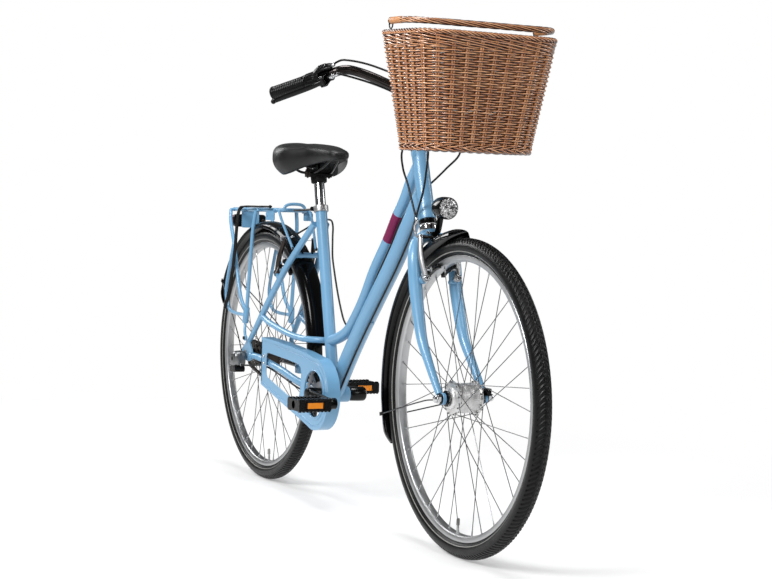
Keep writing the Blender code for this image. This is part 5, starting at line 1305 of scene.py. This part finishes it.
def add_basket_handle():
    half = [(1224, 0, 1147.5), (1223, 70, 1147.5), (1212, 135, 1149), (1185, 168, 1151.5),
            (1140, 179, 1154.5), (1100, 179, 1156.5)]
    path = curve(mirrored(half) + half[1:], 26)
    rope = Shape().tube(path, 3.8, 12)
    rope.rope(path, 6, 2.7, 4.6, 4, 8)
    piece("basket_handle_rope", rope, "willow", "basket_handle", "basket_handle", sharp=60)
    ends = Shape()
    for line in (path, path[::-1]):
        start, along = line[0], (line[1] - line[0]).normalized()
        sleeve = [point for point in line if (point - start).length < 52]
        ends.tube(sleeve, spread([(7.2, 7.2), (6.8, 6.8)], len(sleeve)), 20)
        for k in range(1, len(sleeve) - 1, 3):
            ends.lathe([(6, -1.4), (7.5, -0.8), (7.5, 0.8), (6, 1.4)], sleeve[k],
                       (sleeve[k + 1] - sleeve[k]).normalized(), 24)
        ring = [start - Z * 7 + turn(X * 8.5, Z * 10, 2 * pi * k / 24) for k in range(24)]
        ends.tube(ring, 1.6, 10, 1, closed=True, across=Y)
        ends.disc(start - along * 0.4, along, 7.7, 3.4, 28, 1)
    piece("basket_handle_ends", ends, "tan black_paint", "basket_handle")


# Lamps, mudguards, carrier, stand and strap

def add_headlamp():
    place, axis = mm(992, 0, 764), vec(1, 0, -0.06)
    lamp = Shape().lathe([(0, 0), (8, 0.3), (12, 1.2), (16.5, 4.5), (20, 10), (22.8, 18), (24.5, 28),
                          (25, 40), (25, 53), (24.2, 56), (22.8, 56), (22.2, 50), (0, 49)], place, axis, 64)
    lamp.lathe([(21.6, 50), (18, 40), (12, 30), (5, 25), (0, 24), (0, 23), (12.6, 29), (18.6, 39),
                (22.2, 49.5)], place, axis, 48, 1)
    lamp.ball(place + axis * 33, 4.2, 4)
    glass = Shape().lathe([(0, 58), (17.5, 57), (22.6, 55), (22.6, 56), (18, 57.8), (0, 58.8)], place, axis,
                          56)
    lamp.tube(curve([(989, 0, 700), (1001, 0, 712), (1012, 0, 745)], 8), (8, 2.2), 16, 3, across=Y)
    lamp.box(mm(982.5, -10, 690.5), mm(990, 10, 708), 3)
    lamp.bolt(mm(990, 0, 699), X, 4.6, 4, 2, 4)
    lamp.box(mm(1005, -7, 738.5), mm(1019, 7, 746))
    piece("headlamp_body", lamp, "gloss_black faceted clear black_paint hollow", "steering", "headlamp",
          bevel=0.6)
    piece("headlamp_lens", glass, "faceted", "steering")


def add_mudguard(word, axle_x, first, last, count, body, stay):
    """A curved guard with rolled edges and wire stays. A stay is its angle and its next two places."""
    half = [(1, -19.5), (0.985, -15), (0.90, -7.5), (0.72, -3.5), (0.50, -1.4), (0.25, -0.2)]
    section = [(-across, drop) for across, drop in half] + [(0, 0)] + half[::-1]
    rings, edges = [], ([], [])
    for step in range(count + 1):
        share = step / count
        angle = radians(first + (last - first) * share)
        width = 27.5
        if share < 0.05:
            width *= 0.45 + 0.55 * sin(pi / 2 * share / 0.05)
        rings.append([wheel_point(axle_x, 369.8 + drop, angle, width * across) for across, drop in section]
                     + [wheel_point(axle_x, 368.3 + drop * 0.97, angle, width * across * 0.955)
                        for across, drop in reversed(section)])
        if step > 3:
            for (side, _), edge in zip(SIDES, edges):
                edge.append(wheel_point(axle_x, 350.5, angle, side * 27.2))
    shape = Shape().skin(rings)
    for edge in edges:
        shape.tube(edge, 1.1, 8)
    if word == "rear":
        shape.box(mm(244, -8, 618), mm(256, 8, 626.5))
    piece(word + "_mudguard_shell", shape, "gloss_black", body, word + "_mudguard", sharp=50)
    wires = Shape()
    for side, _ in SIDES:
        start = wheel_point(axle_x, 356, radians(stay[0]), side * 28.5)
        line = [start] + route([(x, side * y, z) for x, y, z in stay[1:]])
        wires.tube(smooth(line, 5), 1.6, 10)
        wires.brick(start + Y * side * 0.5, line[1] - start, Y, (8, 1.6, 4.2), 1)
        wires.bolt(start + Y * side * 1.5, Y * side, 3.2, 2.2, 0, 1)
    piece(word + "_mudguard_stays", wires, "black_paint plastic", body)


def add_mudguards():
    add_mudguard("front", WHEELBASE, 203, 97, 72, "steering", (192, (1060, 52, 336), (1128, 57.8, 345)))
    add_mudguard("rear", 0, 160.5, 8, 96, "frame", (148, (-60, 70, 405), (-23, 70.2, 354)))


def add_carrier():
    rails, bits = Shape(), Shape()
    loop = rectangle(-185, -45, 150, 45, 18, 8)
    rails.tube([mm(x, y, 750) for x, y in loop], 5.5, 24, closed=True, across=Z)
    for x in (-158, -60, 50):
        rails.tube(route([(x, -59.5, 749.2), (x, 59.5, 749.2)]), 4.2, 20)
        for y in (-59.5, 59.5):
            rails.ball(mm(x, y, 749.2), 4.2)
    half = [(167, 16, 765.5), (166, 28, 759), (165, 30, 750), (150, 45, 750)]
    rails.tube(curve(mirrored(half) + half, 6), 4.2, 20)
    for side, _ in SIDES:
        add_carrier_side(side, rails, bits)
    rails.slab([mm(-162, y, z) for y, z in rectangle(-26, 698, 26, 748, 5)], X * 3.5)
    bits.tube(curve([(163, 0, 750), (230, 0, 751.5), (304, 0, 754)], 5), 3, 14)
    piece("carrier_rails", rails, "paint", "frame", "carrier", bevel=0.6)
    for y in (-40, 40):
        bits.disc(mm(-162.2, y, 718), X, 6, 3.6)
        bits.bolt(mm(-158.7, y, 718), X, 4.2, 3.4, 0, 1)
    piece("carrier_bolts", bits, "dark_steel hollow", "frame", bevel=0.4)

    lamp = Shape().slab([mm(-162.4, y, z) for y, z in rectangle(-48, 700, 48, 736, 10)], X * -12)
    glass = Shape().slab([mm(-174.2, y, z) for y, z in rectangle(-46.5, 701.5, 46.5, 734.5, 9)], X * -15)
    for y in (-30, 0, 30):
        glass.lathe([(0, 0), (11, 0), (10, 0.7), (0, 0.9)], mm(-189, y, 718), -X, 28)
    piece("tail_lamp_base", lamp, "plastic", "frame", "tail_lamp", bevel=1.5)
    piece("tail_lamp_lens", glass, "red", "frame", bevel=2.5)

    strap = Shape()
    middle = curve([(135, -59, 758.2), (50, -59.5, 758.2), (-35, -61, 758), (-52, -69, 756),
                    (-58, -74.5, 744), (-62, -77, 720), (-75, -78.5, 620), (-105, -78.5, 530),
                    (-140, -78.5, 470)], 8)
    for cord in (-1, 0, 1):
        line = []
        for k, point in enumerate(middle):
            hanging = min(1.0, max(0.0, (758.5 - point.z) / 14))
            aside = X * 6 * hanging + Y * 4 * (1.0 - hanging)
            line.append(point + aside * cord + Z * 0.4 * sin(k * 0.6 + cord))
        strap.tube(line, 2.4, 10)
    for k in (0, -1):
        strap.ball(middle[k], 4.6, 1, 20)
    piece("elastic_strap_cords", strap, "woven_black black_paint", "frame", "elastic_strap")


def add_carrier_side(side, rails, bits):
    out = Y * side
    for radius, *places in (
            (5, (-160, 60, 748), (-148, 64, 715), (-110, 66, 648), (-54, 66, 510), (-6, 66.4, 465)),
            (4.8, (-113, 66, 655), (-138, 66, 600), (-166, 66, 525), (-160, 66, 488), (-128, 66, 462),
             (-4, 67.2, 456)),
            (5.2, (36, 60, 748), (30, 65, 700), (0, 67, 470)),
            (3.6, (165, 45, 748), (185, 44, 722), (240, 33, 648)),
            (3.8, (-2, 69, 440), (6, 73.5, 415), (18, 76, 396))):
        rails.tube(curve([(x, side * y, z) for x, y, z in places], 8), radius, 22, across=Y)
    rails.rod(mm(1, side * 67, 478), mm(-3, side * 69, 435), 8.5, 28, edge=1.2)
    rails.lathe(collar(0, 7.5, *span(side, 72.2, 79.2), 0.9, 0.8), mm(18, 0, 395), Y, 28)
    bits.bolt(mm(18, side * 79.2, 395), out, 5, 3.6, 0, 1)
    rails.plate(rectangle(100, 722, 160, 743.6, 4), *span(side, 54.5, 57),
                [arc(x, 732, 2.5, 0, 330, 11) for x in (113, 147)])
    low, high = span(side, 47.5, 56)
    rails.box(mm(104, low, 742), mm(156, high, 747.8))
    bits.bolt(mm(240, side * 33, 648), out, 5, 3.6, 0, 1)


def add_kickstand():
    pivot, axis = STAND_PIVOT, vec(0, 0.9798, 0.2).normalized()
    stand = Shape().lathe(collar(4.2, 11, -1.5, 13, 0.8, 1), pivot, axis, 36)
    stand.rod(pivot - axis * 4, pivot + axis * 14, 4, 18, 1)
    stand.nut(pivot + axis * 13.2, axis, 6.6, 4, 1)
    line = curve([(90, 86, 315.5), (55, 85, 317), (-60, 83, 320), (-185, 81, 324)], 8)
    stand.tube(line, spread([(7.5, 10), (7.5, 8.5), (7.2, 7.2), (7, 7)], 8), 24, across=Y)
    foot = curve([(-176, 81.1, 323.7), (-184, 81, 324), (-199, 80.8, 324.5), (-206, 80.7, 324.6)], 4)
    stand.tube(foot, spread([(8, 7), (10.5, 8.8), (10.5, 9), (8.5, 7.2)], 4), 24, 2, across=Y)
    for spot in foot[3:13:2]:
        stand.brick(spot - Z * 8.8, X, Y, (1.2, 8.5, 1), 2)
    piece("kickstand_leg", stand, "black_paint steel rubber", "kickstand", "kickstand", bevel=0.6)
    first, last = mm(78, 88.5, 307.5), mm(36, 87, 309.5)
    _, side, up = axis_frame(last - first)
    coil = [first.lerp(last, k / 149) + turn(side, up, 2 * pi * k / 10) * 3 for k in range(150)]
    piece("kickstand_spring", Shape().tube(coil, 0.7, 6), "steel", "kickstand", slot="bright_metal")


# Cables

def below_tube(places, radius, first, last, shift_y):
    """Places just under a tube of the frame, from one of its points to another."""
    points, result = route(flat(places)), []
    for k in range(first, last):
        along = (points[k + 1] - points[k - 1]).normalized()
        below = vec(along.z, 0, -along.x) * copysign(1, along.x)
        reach = radius + 5.5
        result.append(points[k] + below * sqrt(max(0.0, reach * reach - shift_y * shift_y)) + Y * shift_y)
    return result


def add_cable(name, points, body=None):
    """A cable housing with a metal cap on each end."""
    path = smooth(points, 7)
    shape = Shape().tube(path, 2.4, 16)
    for first, second in ((path[0], path[1]), (path[-1], path[-2])):
        shape.lathe([(0, -0.4), (2.6, -0.4), (3.1, 0.4), (3.1, 8.5), (2.4, 9.5), (0, 9.5)], first,
                    second - first, 20, 1)
    thing = piece(name + "_housing", shape, "cable chrome", body, name)
    if body is None:
        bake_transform(thing)


def lever_exit(side):
    """Where a brake cable leaves its lever: the end of the adjuster and a point beyond it."""
    start, out, lever, _, _ = grip_frame(side)
    middle = start + out * 22 + lever * 18
    return [middle - out * 28, middle - out * 40]


def add_cables():
    rear = lever_exit(-1)
    rear += route([(905, -100, 1030), (948, -20, 985), (975, 55, 925), (978, 62, 887), (950, 44, 853),
                   (908, 31, 822), (872, 18, 796)])
    rear += below_tube(UPPER, 14, 3, 8, 0)
    rear += route([(560, 12, 452), (500, 23, 448), (440, 26, 480), (382, 20.5, 620), (368, 24, 680),
                   (352, 31, 712), (328, 34, 727), (290, 20, 724), (250, -5, 700), (215, -28, 678)])
    add_cable("rear_brake_cable", rear)

    start, out, _, _, _ = grip_frame(-1)
    upward = (Z - out * Z.dot(out)).normalized()
    shift = [start + out * 3.5 + upward * 19, start - out * 30 + upward * 19.5]
    shift += route([(900, -115, 1075.5), (950, -55, 1037), (982, -30, 960), (988, -24, 890), (980, -23, 845),
                    (972, -25, 801), (949, -26, 755)])
    shift += below_tube(DOWN, 22, 2, 7, -6)
    shift += route([(500, -20, 264), (455, -24.5, 259), (385, -28.5, 274.5), (345, -33, 280.5),
                    (300, -40, 288.5), (226, -46.5, 306.5), (100, -52, 326), (60, -64, 323), (42, -86, 321.5),
                    (31, -91, 321.5), (21.3, -92, 321.5)])
    add_cable("shift_cable", shift)

    front = lever_exit(1)
    front += route([(915, 80, 1006), (938, 20, 970), (930, -32, 933), (914, -52, 890), (912, -48, 850),
                    (926, -42, 815), (951, -40, 767), (972, -39, 730)])
    add_cable("front_brake_cable", front, "steering")


# Studio

def add_camera():
    data = bpy.data.cameras.new("camera")
    data.lens = 77.42
    data.sensor_width = 36.0
    data.clip_end = 50.0
    camera = bpy.data.objects.new("camera", data)
    yaw, pitch, roll = 2.6890, -0.0429, 0.0269
    ahead = vec(cos(yaw) * cos(pitch), sin(yaw) * cos(pitch), sin(pitch))
    right = ahead.cross(Z).normalized()
    up = right.cross(ahead)
    columns = Matrix((turn(right, up, roll), turn(up, -right, roll), -ahead)).transposed()
    camera.matrix_world = Matrix.Translation((3.7309, -1.7311, 0.7356)) @ columns.to_4x4()
    bpy.context.scene.collection.objects.link(camera)
    bpy.context.scene.camera = camera


def add_world():
    """White behind the object and through clear parts, and a dimmer grey for light and gloss."""
    world = bpy.data.worlds.new("studio")
    bpy.context.scene.world = world
    graph = Graph(world)
    soft = graph.set(graph.nodes["Background"], Color=(0.96, 0.98, 1.0, 1.0), Strength=0.13)
    white = graph.node("Background", Color=(1.0, 1.0, 1.0, 1.0), Strength=1.0)
    rays = graph.node("LightPath")
    seen = graph.node("Math", [(0, rays, "Is Camera Ray"), (1, rays, "Is Transmission Ray")])
    seen.operation = "MAXIMUM"
    mix = graph.node("MixShader", [("Fac", seen, 0), (1, soft, 0), (2, white, 0)])
    graph.link(mix.outputs[0], graph.nodes["World Output"].inputs["Surface"])


def add_light(name, place, target, size, power):
    data = bpy.data.lights.new(name, "AREA")
    data.shape = "RECTANGLE"
    data.size, data.size_y = size
    data.energy = power
    light = bpy.data.objects.new(name, data)
    light.location = place
    light.rotation_euler = (Vector(target) - Vector(place)).to_track_quat("-Z", "Y").to_euler()
    bpy.context.scene.collection.objects.link(light)


def add_floor():
    """A pale floor that keeps the object's shadow and turns to plain white further out."""
    graph = make("floor", (0.93, 0.93, 0.93), 0.9, vary=0.01, patch=2.0, bump=0.0)
    shrink = graph.node("Mapping", [("Vector", graph.node("TexCoord"), "Object")], Scale=(0.36, 0.52, 1.0))
    fade = graph.node("TexGradient", [("Vector", shrink, "Vector")])
    fade.gradient_type = "SPHERICAL"
    share = graph.node("MapRange", [("Value", fade, "Fac")], From_Min=0.05, From_Max=0.80, To_Min=1.0,
                       To_Max=0.30)
    share.interpolation_type = "SMOOTHSTEP"
    glow = graph.node("Emission", Color=(1.0, 1.0, 1.0, 1.0), Strength=1.0)
    mix = graph.node("MixShader", [("Fac", share, "Result"), (1, graph.nodes["Principled BSDF"], "BSDF"),
                                   (2, glow, "Emission")])
    graph.link(mix.outputs["Shader"], graph.nodes["Material Output"].inputs["Surface"])
    shape = Shape()
    for x in range(-6000, 6000, 300):
        for y in range(-6000, 6000, 300):
            shape.add([vec(x, y, 0), vec(x + 300, y, 0), vec(x + 300, y + 300, 0), vec(x, y + 300, 0)],
                      [(0, 1, 2, 3)])
    floor = piece("floor", shape, "floor", None)


def add_studio():
    add_floor()
    add_world()
    add_light("key", (1.4, -3.2, 2.9), (0, 0, 0.5), (1.5, 1.5), 165)
    add_light("front", (4.4, 0.6, 2.4), (0.2, 0, 0.5), (1.2, 1.6), 38)
    add_light("left", (1.2, 3.4, 1.9), (0, 0, 0.5), (0.7, 1.8), 28)
    add_light("back", (-2.8, -1.2, 2.2), (0, 0, 0.6), (1.0, 1.6), 45)
    add_light("top", (0.0, 0.0, 3.6), (0, 0, 0), (1.8, 1.0), 85)
    bpy.context.scene.view_settings.view_transform = "Standard"


def main():
    make_materials()
    for add in (add_frame, add_saddle, add_wheels, add_drive, add_fork, add_brakes, add_handlebar, add_basket,
                add_headlamp, add_mudguards, add_carrier, add_kickstand, add_cables, add_camera, add_studio):
        add()


main()
